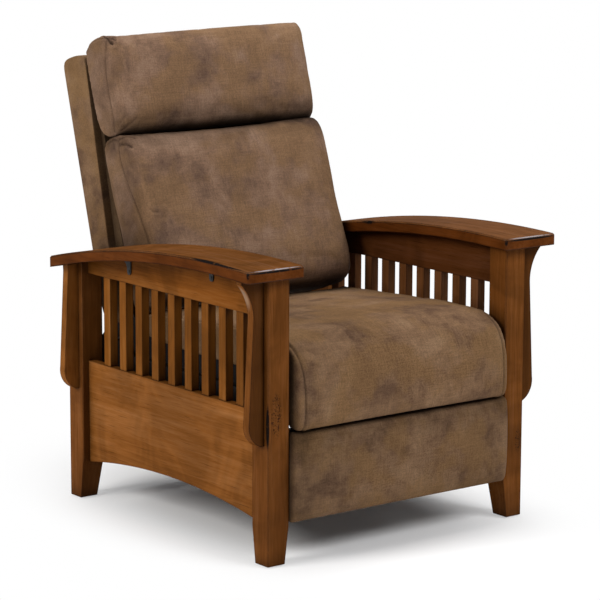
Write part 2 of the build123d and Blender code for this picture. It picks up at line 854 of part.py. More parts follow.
def slab_front(height):
    """Depth of the slab's front face at a height up the back, as a Y of the upright drawing."""
    share = (height - slab_bottom) / (slab_top - slab_bottom)
    return -(slab_front_bottom + share * (slab_front_top - slab_front_bottom))


def frame_members(gap):
    """Boxes of the wooden back frame, grown by a gap: two stiles, then three rails."""
    y0, y1 = frame_front_y - gap, frame_front_y + frame_depth + gap
    inner = stile_outer - stile_width
    boxes = []
    for side in (1, -1):
        x0, x1 = sorted((side * (inner - gap), side * (stile_outer + gap)))
        boxes.append((x0, x1, y0, y1, stile_bottom - gap, stile_top + gap))
    rail_starts = (stile_bottom, frame_rail_middle, stile_top - frame_rail_height)
    for z in rail_starts:
        boxes.append((-inner, inner, y0, y1, z - gap, z + frame_rail_height + gap))
    return boxes


def back_slab():
    """Padded outer back, thicker at the bottom, with pockets for the wooden frame."""
    face = side_face(
        Line((slab_rear_bottom, slab_bottom), (slab_front(slab_bottom), slab_bottom)),
        Line((slab_front(slab_bottom), slab_bottom), (slab_front(slab_top), slab_top)),
        Line((slab_front(slab_top), slab_top), (slab_rear_top, slab_top - slab_top_drop)),
        Line((slab_rear_top, slab_top - slab_top_drop), (slab_rear_bottom, slab_bottom)),
    )
    face = fillet(face.vertices().group_by(Axis.Y)[-1], slab_top_round / 2)
    slab = side_plate(face, -back_half_width, 2 * back_half_width)
    ends = slab.faces().filter_by(Axis.X)
    slab = fillet(ends.edges(), slab_round)
    for box in frame_members(fit_gap):
        slab -= block(*box)
    upright_x = stile_outer + fit_gap
    for side in (1, -1):
        x0, x1 = sorted((side * (upright_x - 2 * fit_gap), side * (upright_x + plate + fit_gap)))
        slab -= block(x0, x1, frame_front_y - fit_gap, frame_front_y + frame_depth + fit_gap,
                      slab_bottom - overrun, back_bracket_top + fit_gap)
    inner = stile_outer - stile_width
    for side in (1, -1):
        x0, x1 = sorted((side * inner, side * stile_outer))
        slab -= block(x0, x1, frame_front_y - fit_gap, frame_front_y + frame_depth + fit_gap,
                      slab_bottom - overrun, stile_bottom)
    return slab


def back_bracket():
    """Bent plate from the back pivot, in under the slab and up the stile's outer face."""
    half = back_bracket_width / 2
    shelf_top = back_bracket_shelf + plate
    lug = disc_face((0, 0), half) + box_face(-half, half, 0, shelf_top)
    lug -= disc_face((0, 0), stud_radius + running_clearance)
    lower = side_plate(lug, swing_layer, plate)
    upright_x = stile_outer + fit_gap
    rear = frame_front_y + frame_depth
    shelf = block(upright_x, swing_layer + plate, -half, rear, back_bracket_shelf, shelf_top)
    upright = block(upright_x, upright_x + plate, frame_front_y, rear, back_bracket_shelf, back_bracket_top)
    return lower + shelf + upright


def lumbar_section(x, rise, draw):
    """Side profile of the lower back cushion at one place across the back."""
    gap = fit_gap
    foot = (slab_front(lumbar_bottom) - gap, lumbar_bottom)
    head = (slab_front(lumbar_top) - gap, lumbar_top)
    chin = (-lumbar_chin_depth + draw * lumbar_belly_draw_share, lumbar_bottom)
    belly = (-lumbar_belly_depth - rise + draw * lumbar_belly_draw_share, lumbar_belly_height)
    middle = (-lumbar_middle_depth - rise + draw * lumbar_middle_draw_share, lumbar_middle_height)
    shoulder = (-lumbar_shoulder_depth - rise + draw, lumbar_shoulder_height)
    jaw = ((chin[0] + 2 * belly[0]) / 3, lumbar_bottom + lumbar_chin_rise)
    crest = ((head[0] + shoulder[0]) / 2, lumbar_top)
    temple = ((crest[0] + 3 * shoulder[0]) / 4, (lumbar_shoulder_height + 3 * lumbar_top) / 4 - rise / 4)
    section = side_face(
        Line(head, foot),
        Line(foot, chin),
        soft_arc(chin, jaw, belly),
        Line(belly, middle),
        Line(middle, shoulder),
        soft_arc(shoulder, temple, crest),
        Line(crest, head),
    )
    return Plane.YZ.offset(x) * section


def lumbar_cushion():
    sections = []
    stations = crowned_stations(lumbar_half_width, cushion_crown, lumbar_side_draw)
    for x, rise, draw in stations:
        sections.append(lumbar_section(x, rise, draw))
    return loft(sections, ruled=True)


def pillow_section(x, rise, draw):
    """Side profile of the headrest pillow, a rounded rectangle that leans on the slab."""
    low = pillow_bottom + draw / 4
    high = pillow_top - draw / 4 + rise / 4
    back_low = slab_front(low) - fit_gap
    back_high = slab_front(slab_top) - fit_gap
    front = -pillow_depth - rise + draw
    rounding = pillow_round - draw / 3
    share = 1 - 1 / math.sqrt(2)
    section = side_face(
        Line((back_high, high), (back_low, low)),
        Line((back_low, low), (front + rounding, low)),
        soft_arc((front + rounding, low), (front + rounding * share, low + rounding * share),
                      (front, low + rounding)),
        Line((front, low + rounding), (front, high - rounding)),
        soft_arc((front, high - rounding), (front + rounding * share, high - rounding * share),
                      (front + rounding, high)),
        Line((front + rounding, high), (back_high, high)),
    )
    return Plane.YZ.offset(x) * section


def headrest():
    sections = []
    stations = crowned_stations(pillow_half_width, pillow_end_step, pillow_side_draw)
    for x, rise, draw in stations:
        sections.append(pillow_section(x, rise, draw))
    return loft(sections, ruled=True)


# Nodes

def all_nodes():
    """Every node by name, as a list of solids in the building frame."""
    nodes = {}

    def pair(name, solid):
        nodes[name + "_left"] = [solid]
        nodes[name + "_right"] = [mirrored(solid)]

    pair("post_front", post(0, True))
    pair("post_rear", post(rear_post_front, False))
    pair("side_panel", side_panel())
    pair("arm_rail", arm_rail())
    row = slats()
    nodes["slats_left"] = row
    nodes["slats_right"] = [mirrored(slat) for slat in row]
    pair("corbel_front", corbel(corbel_setback))
    pair("corbel_rear", corbel(rear_post_front + corbel_setback))
    pair("arm_board", arm_board())
    nodes["stretcher_front"] = [stretcher_front()]
    nodes["stretcher_rear"] = [stretcher_rear()]
    pair("cleat", cleat())
    nodes["arm_brackets"] = arm_brackets()
    nodes["foot_glides"] = foot_glides()
    pair("base_plate", base_plate())
    nodes["base_rivets"] = base_rivets()
    nodes["base_screws"] = base_screws()

    nodes["carriers_front"] = both_sides(carrier_front())
    nodes["carriers_rear"] = both_sides(carrier_rear())
    nodes["carrier_tube"] = [carrier_tube()]
    nodes["swing_arms_front"] = both_sides(swing_front())
    nodes["swing_tube"] = [swing_tube()]
    nodes["swing_arms_rear"] = both_sides(swing_rear())
    nodes["push_bars_lower"] = both_sides(push_bar_lower())
    nodes["push_bars_upper"] = both_sides(push_bar_upper())
    nodes["drive_links"] = both_sides(drive_link())

    pair("seat_plate", seat_plate())
    nodes["seat_rivets"] = seat_rivets()
    pair("seat_rail", seat_rail_side())
    nodes["seat_rail_front"] = [seat_rail_front()]
    nodes["seat_rail_rear"] = [seat_rail_rear()]
    nodes["seat_springs"] = seat_springs()
    nodes["seat_cushion"] = [seat_cushion()]
    pair("seat_cloth", seat_side_cloth())

    nodes["footrest_board"] = [footrest_board()]
    nodes["footrest_pad"] = [footrest_pad()]
    nodes["footrest_brackets"] = both_sides(footrest_bracket())

    frame_names = ("back_stile_left", "back_stile_right", "back_rail_bottom", "back_rail_middle", "back_rail_top")
    for name, box in zip(frame_names, frame_members(0)):
        nodes[name] = [leaned(block(*box))]
    nodes["back_slab"] = [leaned(back_slab())]
    nodes["back_cushion"] = [leaned(lumbar_cushion())]
    nodes["headrest"] = [leaned(headrest())]
    nodes["back_brackets"] = [leaned(solid) for solid in both_sides(back_bracket())]
    return nodes


def all_pivots():
    """Joint centres by name, as (Y, Z) in the building frame."""
    return {
        "carrier_front_base": pivot_carrier_front_base,
        "carrier_front_top": pivot_carrier_front_top,
        "carrier_rear_base": pivot_carrier_rear_base,
        "swing_front": pivot_swing_front,
        "swing_rear": pivot_swing_rear,
        "bar_lower": pivot_bar_lower,
        "bar_upper": pivot_bar_upper,
        "bracket_lower": pivot_bracket_lower,
        "drive_crank": pivot_drive_crank,
        "back": pivot_back,
    }


nodes = all_nodes()
everything = Compound(children=[Compound(children=list(solids)) for solids in nodes.values()])
whole = everything.bounding_box()
shift_y = -(whole.min.Y + whole.max.Y) / 2
os.makedirs("parts", exist_ok=True)
for name, solids in nodes.items():
    flat = [piece for solid in solids for piece in solid.solids()]
    placed = [Pos(0, shift_y, 0) * piece for piece in flat]
    node = placed[0] if len(placed) == 1 else Compound(children=placed)
    export_step(node, os.path.join("parts", name + ".step"))
print("box", whole.min, whole.max, "shift_y", round(shift_y, 3))
for name, (y, z) in all_pivots().items():
    print("pivot", name, round(y + shift_y, 3), round(z, 3))
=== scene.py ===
import json
import math

import bmesh
import bpy
import numpy as np
from mathutils import Matrix, Vector
from mathutils.bvhtree import BVHTree


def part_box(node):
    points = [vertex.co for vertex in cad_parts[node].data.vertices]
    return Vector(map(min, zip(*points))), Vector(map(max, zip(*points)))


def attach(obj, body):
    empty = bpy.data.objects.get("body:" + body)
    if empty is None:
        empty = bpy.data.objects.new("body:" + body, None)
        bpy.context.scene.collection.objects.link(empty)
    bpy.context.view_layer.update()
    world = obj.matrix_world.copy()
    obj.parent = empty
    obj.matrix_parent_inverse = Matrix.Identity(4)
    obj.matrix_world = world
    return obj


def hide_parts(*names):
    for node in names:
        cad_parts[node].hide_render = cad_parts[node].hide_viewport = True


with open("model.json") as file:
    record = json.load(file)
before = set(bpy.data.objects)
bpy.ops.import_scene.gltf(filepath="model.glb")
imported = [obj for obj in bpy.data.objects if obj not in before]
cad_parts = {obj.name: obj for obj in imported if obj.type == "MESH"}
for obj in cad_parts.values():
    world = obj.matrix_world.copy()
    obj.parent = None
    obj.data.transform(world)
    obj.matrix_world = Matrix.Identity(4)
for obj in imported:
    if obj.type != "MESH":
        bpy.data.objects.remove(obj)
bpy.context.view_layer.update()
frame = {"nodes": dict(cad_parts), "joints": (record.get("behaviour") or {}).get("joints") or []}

# Lengths are metres in the row frame. Rings, seams and places in drawings are millimetres, and MM makes them metres.
MM = 0.001

# Camera, fitted to the photograph. Its place is measured from the front posts' face, its angles are degrees.
CAMERA_PLACE = (-3.4976, -4.2067, 1.5409)
CAMERA_YAW = 37.53
CAMERA_PITCH = 10.58
CAMERA_ROLL = 0.16
CAMERA_LENS_MM = 160.1
SENSOR_MM = 36.0

# Cloth simulation of the cushions: how much of a move inwards is undone, and what is kept along each axis
SWELL_FRAMES = 20
SWELL_PRESSURE = 4.0
SWELL_INWARD_UNDONE = 0.8
SWELL_AXIS_SHARES = (0.2, 1, 1)

# Places taken from the frame. The lean is the CAD source's, in degrees behind upright.
JOINTS = {joint["name"]: joint for joint in frame["joints"]}
BACK_PIVOT = Vector(JOINTS["back_recline"]["pos_m"])
BACK_LEAN = 16.5
FRONT_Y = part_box("post_front_left")[0].y
SEAT_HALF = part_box("seat_cushion")[1].x
PAD_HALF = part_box("footrest_pad")[1].x
HEAD_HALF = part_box("headrest")[1].x
LUMBAR_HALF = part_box("back_cushion")[1].x
SLAB_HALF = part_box("back_slab")[1].x


def add_object(name, data):
    made = bpy.data.objects.new(name, data)
    bpy.context.scene.collection.objects.link(made)
    return made


def add_mesh_object(name, mesh):
    """Object from an edit mesh, which is freed."""
    data = bpy.data.meshes.new(name)
    mesh.to_mesh(data)
    mesh.free()
    return add_object(name, data)


def make_camera():
    data = bpy.data.cameras.new("camera")
    data.lens = CAMERA_LENS_MM
    data.sensor_width = SENSOR_MM
    camera = add_object("camera", data)
    yaw, pitch, roll = (math.radians(a) for a in (CAMERA_YAW, CAMERA_PITCH, CAMERA_ROLL))
    turn = (Matrix.Rotation(-yaw, 4, "Z") @ Matrix.Rotation(math.pi / 2 - pitch, 4, "X")
            @ Matrix.Rotation(roll, 4, "Z"))
    camera.matrix_world = Matrix.Translation(Vector(CAMERA_PLACE) + Vector((0, FRONT_Y, 0))) @ turn
    bpy.context.scene.camera = camera


# Materials

class Graph:
    """Short words for building a material's nodes."""

    def __init__(self, name):
        self.material = bpy.data.materials.new(name)
        self.material.use_nodes = True
        self.tree = self.material.node_tree
        self.shader = self.tree.nodes["Principled BSDF"]

    def node(self, kind, **settings):
        made = self.tree.nodes.new(kind)
        for key, value in settings.items():
            setattr(made, key, value)
        return made

    def put(self, socket, value):
        if isinstance(value, bpy.types.NodeSocket):
            self.tree.links.new(value, socket)
        elif value is not None:
            socket.default_value = value

    def coordinates(self):
        return self.node("ShaderNodeTexCoord").outputs["Object"]

    def scaled(self, vector, scale, turn=(0, 0, 0), shift=(0, 0, 0)):
        made = self.node("ShaderNodeMapping")
        self.put(made.inputs["Vector"], vector)
        made.inputs["Scale"].default_value = scale
        made.inputs["Rotation"].default_value = turn
        made.inputs["Location"].default_value = shift
        return made.outputs["Vector"]

    def noise(self, vector, scale, detail=2.0, roughness=0.5, distortion=0.0):
        made = self.node("ShaderNodeTexNoise")
        self.put(made.inputs["Vector"], vector)
        made.inputs["Scale"].default_value = scale
        made.inputs["Detail"].default_value = detail
        made.inputs["Roughness"].default_value = roughness
        made.inputs["Distortion"].default_value = distortion
        return made.outputs["Fac"]

    def ramp(self, value, *stops):
        made = self.node("ShaderNodeValToRGB")
        self.put(made.inputs["Fac"], value)
        elements = made.color_ramp.elements
        while len(elements) < len(stops):
            elements.new(0.5)
        for element, (place, color) in zip(elements, stops):
            element.position = place
            element.color = (*color, 1)
        return made.outputs["Color"]

    def level(self, value, low, high, to_low=0.0, to_high=1.0):
        made = self.node("ShaderNodeMapRange", interpolation_type="SMOOTHSTEP")
        self.put(made.inputs["Value"], value)
        ends = {"From Min": low, "From Max": high, "To Min": to_low, "To Max": to_high}
        for key, number in ends.items():
            made.inputs[key].default_value = number
        return made.outputs["Result"]

    def math(self, operation, first, second=None):
        made = self.node("ShaderNodeMath", operation=operation)
        for socket, value in zip(made.inputs, (first, second)):
            self.put(socket, value)
        return made.outputs["Value"]

    def mix(self, factor, first, second, blend_type="MIX"):
        made = self.node("ShaderNodeMix", data_type="RGBA", blend_type=blend_type)
        self.put(made.inputs["Factor"], factor)
        for socket, color in ((made.inputs[6], first), (made.inputs[7], second)):
            self.put(socket, (*color, 1) if isinstance(color, tuple) else color)
        return made.outputs[2]

    def dim(self, color, tone):
        """The color times one number."""
        grey = self.node("ShaderNodeCombineColor")
        for key in ("Red", "Green", "Blue"):
            self.put(grey.inputs[key], tone)
        return self.mix(1.0, color, grey.outputs["Color"], "MULTIPLY")

    def openness(self, reach):
        """One in the open, about a half in a corner. Materials darken their colour by it, as painted shade."""
        made = self.node("ShaderNodeAmbientOcclusion", samples=4)
        made.inputs["Distance"].default_value = reach
        return made.outputs["AO"]

    def spot(self, where, middle, radii, soft=0.5):
        """One inside an egg shape around a place, zero outside."""
        shifted = self.node("ShaderNodeVectorMath", operation="SUBTRACT")
        self.put(shifted.inputs[0], where)
        shifted.inputs[1].default_value = middle
        shaped = self.node("ShaderNodeVectorMath", operation="DIVIDE")
        self.put(shaped.inputs[0], shifted.outputs["Vector"])
        shaped.inputs[1].default_value = radii
        length = self.node("ShaderNodeVectorMath", operation="LENGTH")
        self.put(length.inputs[0], shaped.outputs["Vector"])
        return self.level(length.outputs["Value"], soft, 1.0, 1.0, 0.0)

    def bump(self, height, strength, distance, normal=None):
        made = self.node("ShaderNodeBump")
        self.put(made.inputs["Height"], height)
        made.inputs["Strength"].default_value = strength
        made.inputs["Distance"].default_value = distance
        self.put(made.inputs["Normal"], normal)
        return made.outputs["Normal"]

    def edge_mask(self, radius):
        """A normal that is rounded at sharp edges, and a mask: above zero near such an edge, zero on flat faces."""
        soft = self.node("ShaderNodeBevel", samples=4)
        soft.inputs["Radius"].default_value = radius
        flat = self.node("ShaderNodeNewGeometry").outputs["Normal"]
        dot = self.node("ShaderNodeVectorMath", operation="DOT_PRODUCT")
        self.put(dot.inputs[0], soft.outputs["Normal"])
        self.put(dot.inputs[1], flat)
        return soft.outputs["Normal"], self.math("SUBTRACT", 1.0, dot.outputs["Value"])


BURNISH = (0.007, 0.005, 0.004)
# Colours of painted highlights: pale spots and bright glints
PAINTED_HIGHLIGHT_PALE = (0.34, 0.23, 0.15)
PAINTED_GLINT = (0.30, 0.26, 0.26)


def wood_material(name, grain, colors, seed, glaze=0.5, edge_reach=0.0034, painted_front_shade=0.0,
                  painted_upright_shade=None, dents=(), wear=(), painted_pale_highlights=(), painted_glints=()):
    """Stained hardwood whose grain runs along one row axis, with painted shade in corners and dark glaze on edges and
    in dents.

    The front shade darkens faces that look forward and the upright tint darkens upright faces: painted shade by how
    they face.
    Dents are pitted places and wear is solid black. The pale spots and the bright ones are painted highlights. Each of
    these spots is a middle point and three radii.
    """
    dark, middle, light = colors
    g = Graph(name)
    along = {"x": (0.05, 1, 1), "y": (1, 0.05, 1), "z": (1, 1, 0.05)}[grain]
    where = g.coordinates()
    place = g.node("ShaderNodeVectorMath", operation="ADD")
    g.put(place.inputs[0], where)
    place.inputs[1].default_value = (seed, seed * 0.7, seed * 1.3)
    plain = place.outputs["Vector"]
    run = g.scaled(plain, along)
    figure = g.noise(run, 16, 4, 0.6, 1.4)
    lines = g.noise(run, 150, 5, 0.7, 0.5)
    pores = g.noise(g.scaled(plain, tuple(0.5 * a if a < 1 else a for a in along)), 620, 2, 0.5)
    cloud = g.noise(plain, 6, 3, 0.6, 0.8)
    mixed = g.math("ADD", g.math("MULTIPLY", figure, 0.5), g.math("MULTIPLY", lines, 0.5))
    color = g.ramp(mixed, (0.30, dark), (0.5, middle), (0.70, light))
    color = g.dim(color, g.level(cloud, 0.34, 0.66, 0.74, 1.12))
    color = g.mix(g.level(pores, 0.62, 0.72, 0.0, 0.5), color, tuple(0.3 * c for c in dark))
    facing = g.node("ShaderNodeSeparateXYZ")
    g.put(facing.inputs[0], g.node("ShaderNodeNewGeometry").outputs["True Normal"])
    # Painted shade: faces that look forward are darkened
    if painted_front_shade:
        front = g.level(g.math("MULTIPLY", facing.outputs["Y"], -1.0), 0.6, 0.9, 0.0, painted_front_shade)
        color = g.mix(front, color, tuple(0.35 * c for c in dark))
    # Painted shade: upright faces are tinted darker and warmer than the tops
    if painted_upright_shade:
        rim = g.level(g.math("ABSOLUTE", facing.outputs["Z"]), 0.3, 0.7, 1.0, 0.0)
        color = g.mix(rim, color, painted_upright_shade, "MULTIPLY")
    # Painted shade in corners and between parts, from how open each place is
    color = g.dim(color, g.level(g.openness(0.035), 0.45, 0.97, 0.42, 1.0))
    rounded, edge = g.edge_mask(edge_reach)
    worn = g.noise(plain, 22, 3, 0.65)
    edge = g.math("MULTIPLY", g.level(edge, 0.004, 0.05), g.level(worn, 0.32, 0.48, 0.45, 1.0))
    color = g.mix(g.math("MULTIPLY", edge, glaze), color, BURNISH)
    pits = g.level(g.noise(plain, 300, 2, 0.6, 1.5), 0.53, 0.57)
    for middle_point, radii in dents:
        color = g.mix(g.math("MULTIPLY", pits, g.spot(where, middle_point, radii, 0.6)), color, BURNISH)
    ragged = g.level(g.noise(plain, 110, 3, 0.6), 0.32, 0.44, 0.25, 1.0)
    for middle_point, radii in wear:
        color = g.mix(g.math("MULTIPLY", ragged, g.spot(where, middle_point, radii, 0.6)), color, BURNISH)
    # Painted highlights: pale spots
    for middle_point, radii in painted_pale_highlights:
        color = g.mix(g.math("MULTIPLY", g.spot(where, middle_point, radii, 0.3), 0.5), color, PAINTED_HIGHLIGHT_PALE)
    # Painted highlights: bright glints
    for middle_point, radii in painted_glints:
        color = g.mix(g.math("MULTIPLY", ragged, g.spot(where, middle_point, radii, 0.5)), color, PAINTED_GLINT)
    g.put(g.shader.inputs["Base Color"], color)
    g.put(g.shader.inputs["Roughness"], g.level(lines, 0.3, 0.7, 0.42, 0.56))
    g.shader.inputs["Specular IOR Level"].default_value = 0.0
    depth = g.node("ShaderNodeSeparateXYZ")
    g.put(depth.inputs[0], where)
    # Only edges well in front of the posts' face shine: those of the arms' front ends
    forward = g.math("MULTIPLY", depth.outputs["Y"], -1.0)
    front_edge = g.level(forward, 0.008 - FRONT_Y, 0.016 - FRONT_Y)
    shine = g.math("MULTIPLY", g.math("MULTIPLY", edge, front_edge), 0.3)
    g.put(g.shader.inputs["Coat Weight"], g.math("ADD", shine, 0.05))
    g.shader.inputs["Coat Roughness"].default_value = 0.25
    height = g.math("ADD", g.math("MULTIPLY", lines, 0.6), g.math("MULTIPLY", pores, 0.4))
    g.put(g.shader.inputs["Normal"], g.bump(height, 0.15, 0.0005, rounded))
    return g.material


def fabric_material(name, dark, middle, light, sheen):
    """Mottled brushed cloth with a fine weave. Its colour carries painted shade in corners, and from two attributes
    along seams, pleats and creases and in shaded places.
    """
    g = Graph(name)
    where = g.coordinates()
    cloud = g.noise(where, 6.5, 5, 0.62, 0.6)
    patch = g.noise(g.scaled(where, (1, 1, 1), (0.4, 0.2, 0.9)), 19, 4, 0.65, 0.4)
    mixed = g.math("ADD", g.math("MULTIPLY", cloud, 0.62), g.math("MULTIPLY", patch, 0.38))
    color = g.ramp(mixed, (0.39, dark), (0.5, middle), (0.615, light))
    gold = g.level(g.noise(where, 9, 3, 0.6), 0.42, 0.60, 0.0, 0.65)
    color = g.mix(gold, color, (1.05 * middle[0], 1.0 * middle[1], 0.76 * middle[2]))
    fine = g.noise(where, 330, 3, 0.7)
    across = g.noise(g.scaled(where, (0.07, 1, 1)), 380, 1, 0.5)
    upward = g.noise(g.scaled(where, (1, 0.07, 0.07)), 380, 1, 0.5)
    weave = g.math("MULTIPLY", g.math("ADD", across, upward), 0.5)
    threads = g.level(weave, 0.36, 0.64, 0.91, 1.08)
    color = g.dim(color, g.math("ADD", threads, g.level(fine, 0.32, 0.68, -0.14, 0.14)))
    # Painted shade in corners, folds and where the cushions meet
    color = g.dim(color, g.level(g.openness(0.08), 0.28, 0.93, 0.42, 1.0))
    # Painted shade from the piece's attribute, with ragged edges
    hollow = g.node("ShaderNodeAttribute", attribute_name="hollow").outputs["Fac"]
    ragged = g.level(g.noise(where, 16, 3, 0.6), 0.3, 0.7, 0.55, 1.15)
    color = g.dim(color, g.math("SUBTRACT", 1.0, g.math("MULTIPLY", hollow, ragged)))
    # Painted shade along seams, pleats and creases, from the piece's attribute
    seam = g.node("ShaderNodeAttribute", attribute_name="seam").outputs["Fac"]
    color = g.mix(g.math("MULTIPLY", seam, 0.7), color, tuple(0.2 * c for c in dark))
    g.put(g.shader.inputs["Base Color"], color)
    g.shader.inputs["Roughness"].default_value = 0.9
    g.shader.inputs["Specular IOR Level"].default_value = 0.04
    g.shader.inputs["Sheen Weight"].default_value = sheen
    g.shader.inputs["Sheen Roughness"].default_value = 0.5
    g.shader.inputs["Sheen Tint"].default_value = (*light, 1)
    height = g.math("ADD", weave, g.math("MULTIPLY", fine, 0.5))
    g.put(g.shader.inputs["Normal"], g.bump(height, 0.35, 0.0009))
    return g.material


def plain_material(name, color, roughness, metallic=0.0, wear=0.12):
    """Painted or bare surface with a little unevenness and painted shade in its corners."""
    g = Graph(name)
    where = g.coordinates()
    uneven = g.noise(where, 60, 4, 0.6)
    tone = g.ramp(uneven, (0.3, tuple((1 - wear) * c for c in color)), (0.7, color))
    # Painted shade in corners
    g.put(g.shader.inputs["Base Color"], g.dim(tone, g.level(g.openness(0.06), 0.3, 0.95, 0.2, 1.0)))
    g.put(g.shader.inputs["Roughness"], g.level(uneven, 0.3, 0.7, roughness - 0.06, roughness + 0.06))
    g.shader.inputs["Metallic"].default_value = metallic
    g.put(g.shader.inputs["Normal"], g.bump(g.noise(where, 700, 2), 0.12, 0.0003))
    return g.material


def row_point(x, y, z):
    """Place given in millimetres: across the chair, behind the front posts' face and above the floor."""
    return (x * MM, FRONT_Y + y * MM, z * MM)


def stain(strength, green=1.0, blue=1.0):
    """Dark, middle and light tone of the stain."""
    tones = ((0.110, 0.037, 0.0060), (0.175, 0.063, 0.0120), (0.235, 0.099, 0.0290))
    return tuple((strength * r, strength * green * g, strength * blue * b) for r, g, b in tones)


# Spots of wear and painted highlights where the photograph shows the largest ones: a place and three radii in metres
ARM_STAIN = ((0.074, 0.025, 0.0055), (0.122, 0.045, 0.0120), (0.160, 0.070, 0.0300))
POST_DENTS = (
    (row_point(-326, 0, 318), (0.017, 0.010, 0.055)),
    (row_point(335, 0, 172), (0.012, 0.010, 0.030)),
)
POST_WEAR = ((row_point(-347.5, 1, 296), (0.0050, 0.0070, 0.055)),)
ARM_WEAR = (
    (row_point(-413, 128, 628), (0.0140, 0.080, 0.0055)),
    (row_point(-413.5, 62, 626), (0.0060, 0.100, 0.0024)),
    (row_point(-413.5, -22, 617.5), (0.0050, 0.0055, 0.0115)),
    (row_point(-342, -23, 620.0), (0.0780, 0.0050, 0.0030)),
    (row_point(271, -22, 617.5), (0.0055, 0.0055, 0.0110)),
    (row_point(342, -23, 620.0), (0.0780, 0.0050, 0.0030)),
    (row_point(414, -22, 615), (0.0035, 0.0050, 0.0120)),
    (row_point(264, 447, 606), (0.0130, 0.038, 0.010)),
)
# Painted highlights along the arms' front top edges and on their front corners
ARM_PAINTED_GLINTS = (
    (row_point(-342, -21.0, 623.9), (0.0720, 0.0030, 0.0019)),
    (row_point(-413.2, -22.2, 617.5), (0.0020, 0.0022, 0.0036)),
    (row_point(342, -21.0, 623.9), (0.0720, 0.0030, 0.0019)),
    (row_point(271.2, -22.2, 617.5), (0.0018, 0.0022, 0.0036)),
)
CORBEL_WEAR = ((row_point(-388, 26, 574), (0.0060, 0.0045, 0.0050)),)
# Painted highlight on the front corbels' neck
CORBEL_PAINTED_HIGHLIGHT = ((row_point(-388, 27, 562), (0.024, 0.0136, 0.040)),)
WOOD_POST = wood_material("wood_posts", "z", stain(0.76, 0.93), 1.7, 0.55,
                          dents=POST_DENTS, wear=POST_WEAR)
# The rear posts, the front corbels and the near slats get painted shade on faces that look forward
WOOD_REAR = wood_material("wood_rear_posts", "z", stain(0.82, 0.93), 7.7, 0.55, painted_front_shade=0.35)
WOOD_CORBEL_REAR = wood_material("wood_rear_corbels", "z", stain(1.15, 0.98), 5.9, 0.6)
WOOD_CORBEL = wood_material("wood_corbels", "z", stain(0.80, 0.94), 2.3, 0.7, painted_front_shade=0.64,
                            wear=CORBEL_WEAR, painted_pale_highlights=CORBEL_PAINTED_HIGHLIGHT)
WOOD_SLAT = wood_material("wood_upright", "z", stain(0.98, 0.95, 0.8), 4.9, 0.4, painted_front_shade=0.5)
# A darker, bluer copy of the slats' wood for the far side: painted shade
WOOD_SLAT_FAR_SHADED = wood_material("wood_upright_far_shaded", "z", stain(0.92, 1.05, 1.8), 8.4, 0.4)
# The side panels' lighter stain is partly their own tone and partly a painted sheen of the lamp on the left
WOOD_PANEL = wood_material("wood_lengthways", "y", stain(1.14, 0.98), 3.1, 0.4)
WOOD_RAIL = wood_material("wood_rails", "y", stain(0.88, 0.90, 0.7), 3.6, 0.4)
# A darker, bluer copy of the rails' wood for the far side: painted shade
WOOD_RAIL_FAR_SHADED = wood_material("wood_lengthways_far_shaded", "y", stain(0.46, 0.9, 1.3), 9.6, 0.4)
# The arms' upright faces get painted shade
WOOD_ARM = wood_material("wood_arms", "y", ARM_STAIN, 6.2, 1.0, 0.0042, painted_upright_shade=(0.75, 0.56, 0.36),
                         wear=ARM_WEAR, painted_glints=ARM_PAINTED_GLINTS)
# Dark tones, so that the frame shows as painted shade through gaps
FRAME_SHADED_TONES = ((0.06, 0.036, 0.02), (0.09, 0.055, 0.03), (0.12, 0.078, 0.045))
FRAME_WOOD = wood_material("frame_wood", "x", FRAME_SHADED_TONES, 5.3)
BROWN = fabric_material("brown_suede", (0.092, 0.052, 0.031), (0.158, 0.092, 0.051),
                        (0.200, 0.122, 0.069), 0.03)
BROWN_BACK = fabric_material("brown_suede_back", (0.101, 0.060, 0.041), (0.173, 0.103, 0.066),
                             (0.218, 0.136, 0.091), 0.03)
BLACK_CLOTH = fabric_material("black_cloth", (0.008, 0.008, 0.009), (0.012, 0.012, 0.013),
                              (0.018, 0.018, 0.02), 0.1)
BLACK_STEEL = plain_material("black_steel", (0.022, 0.022, 0.024), 0.42, 0.6)
ANGLE_STEEL = plain_material("angle_steel", (0.006, 0.006, 0.007), 0.6, 0.0)
BRIGHT_STEEL = plain_material("bright_steel", (0.40, 0.40, 0.41), 0.36, 1.0)
NYLON = plain_material("nylon", (0.045, 0.04, 0.035), 0.5)

# The first row with a start that fits a node's name gives its material. The last row fits every name.
NODE_MATERIALS = (
    (("post_rear",), WOOD_REAR),
    (("corbel_rear",), WOOD_CORBEL_REAR),
    (("post_",), WOOD_POST),
    (("corbel_front",), WOOD_CORBEL),
    (("slats_left",), WOOD_SLAT_FAR_SHADED),
    (("slats_",), WOOD_SLAT),
    (("arm_rail_left",), WOOD_RAIL_FAR_SHADED),
    (("side_panel",), WOOD_PANEL),
    (("arm_rail",), WOOD_RAIL),
    (("arm_board",), WOOD_ARM),
    (("stretcher", "cleat", "seat_rail", "back_stile", "back_rail"), FRAME_WOOD),
    (("seat_cloth", "footrest_board"), BLACK_CLOTH),
    (("seat_springs", "seat_rivets", "base_rivets", "base_screws"), BRIGHT_STEEL),
    (("foot_glides",), NYLON),
    (("",), BLACK_STEEL),
)


def dress_nodes():
    for name, node in frame["nodes"].items():
        for starts, material in NODE_MATERIALS:
            if name.startswith(starts):
                node.data.materials.clear()
                node.data.materials.append(material)
                break


# Soft pieces

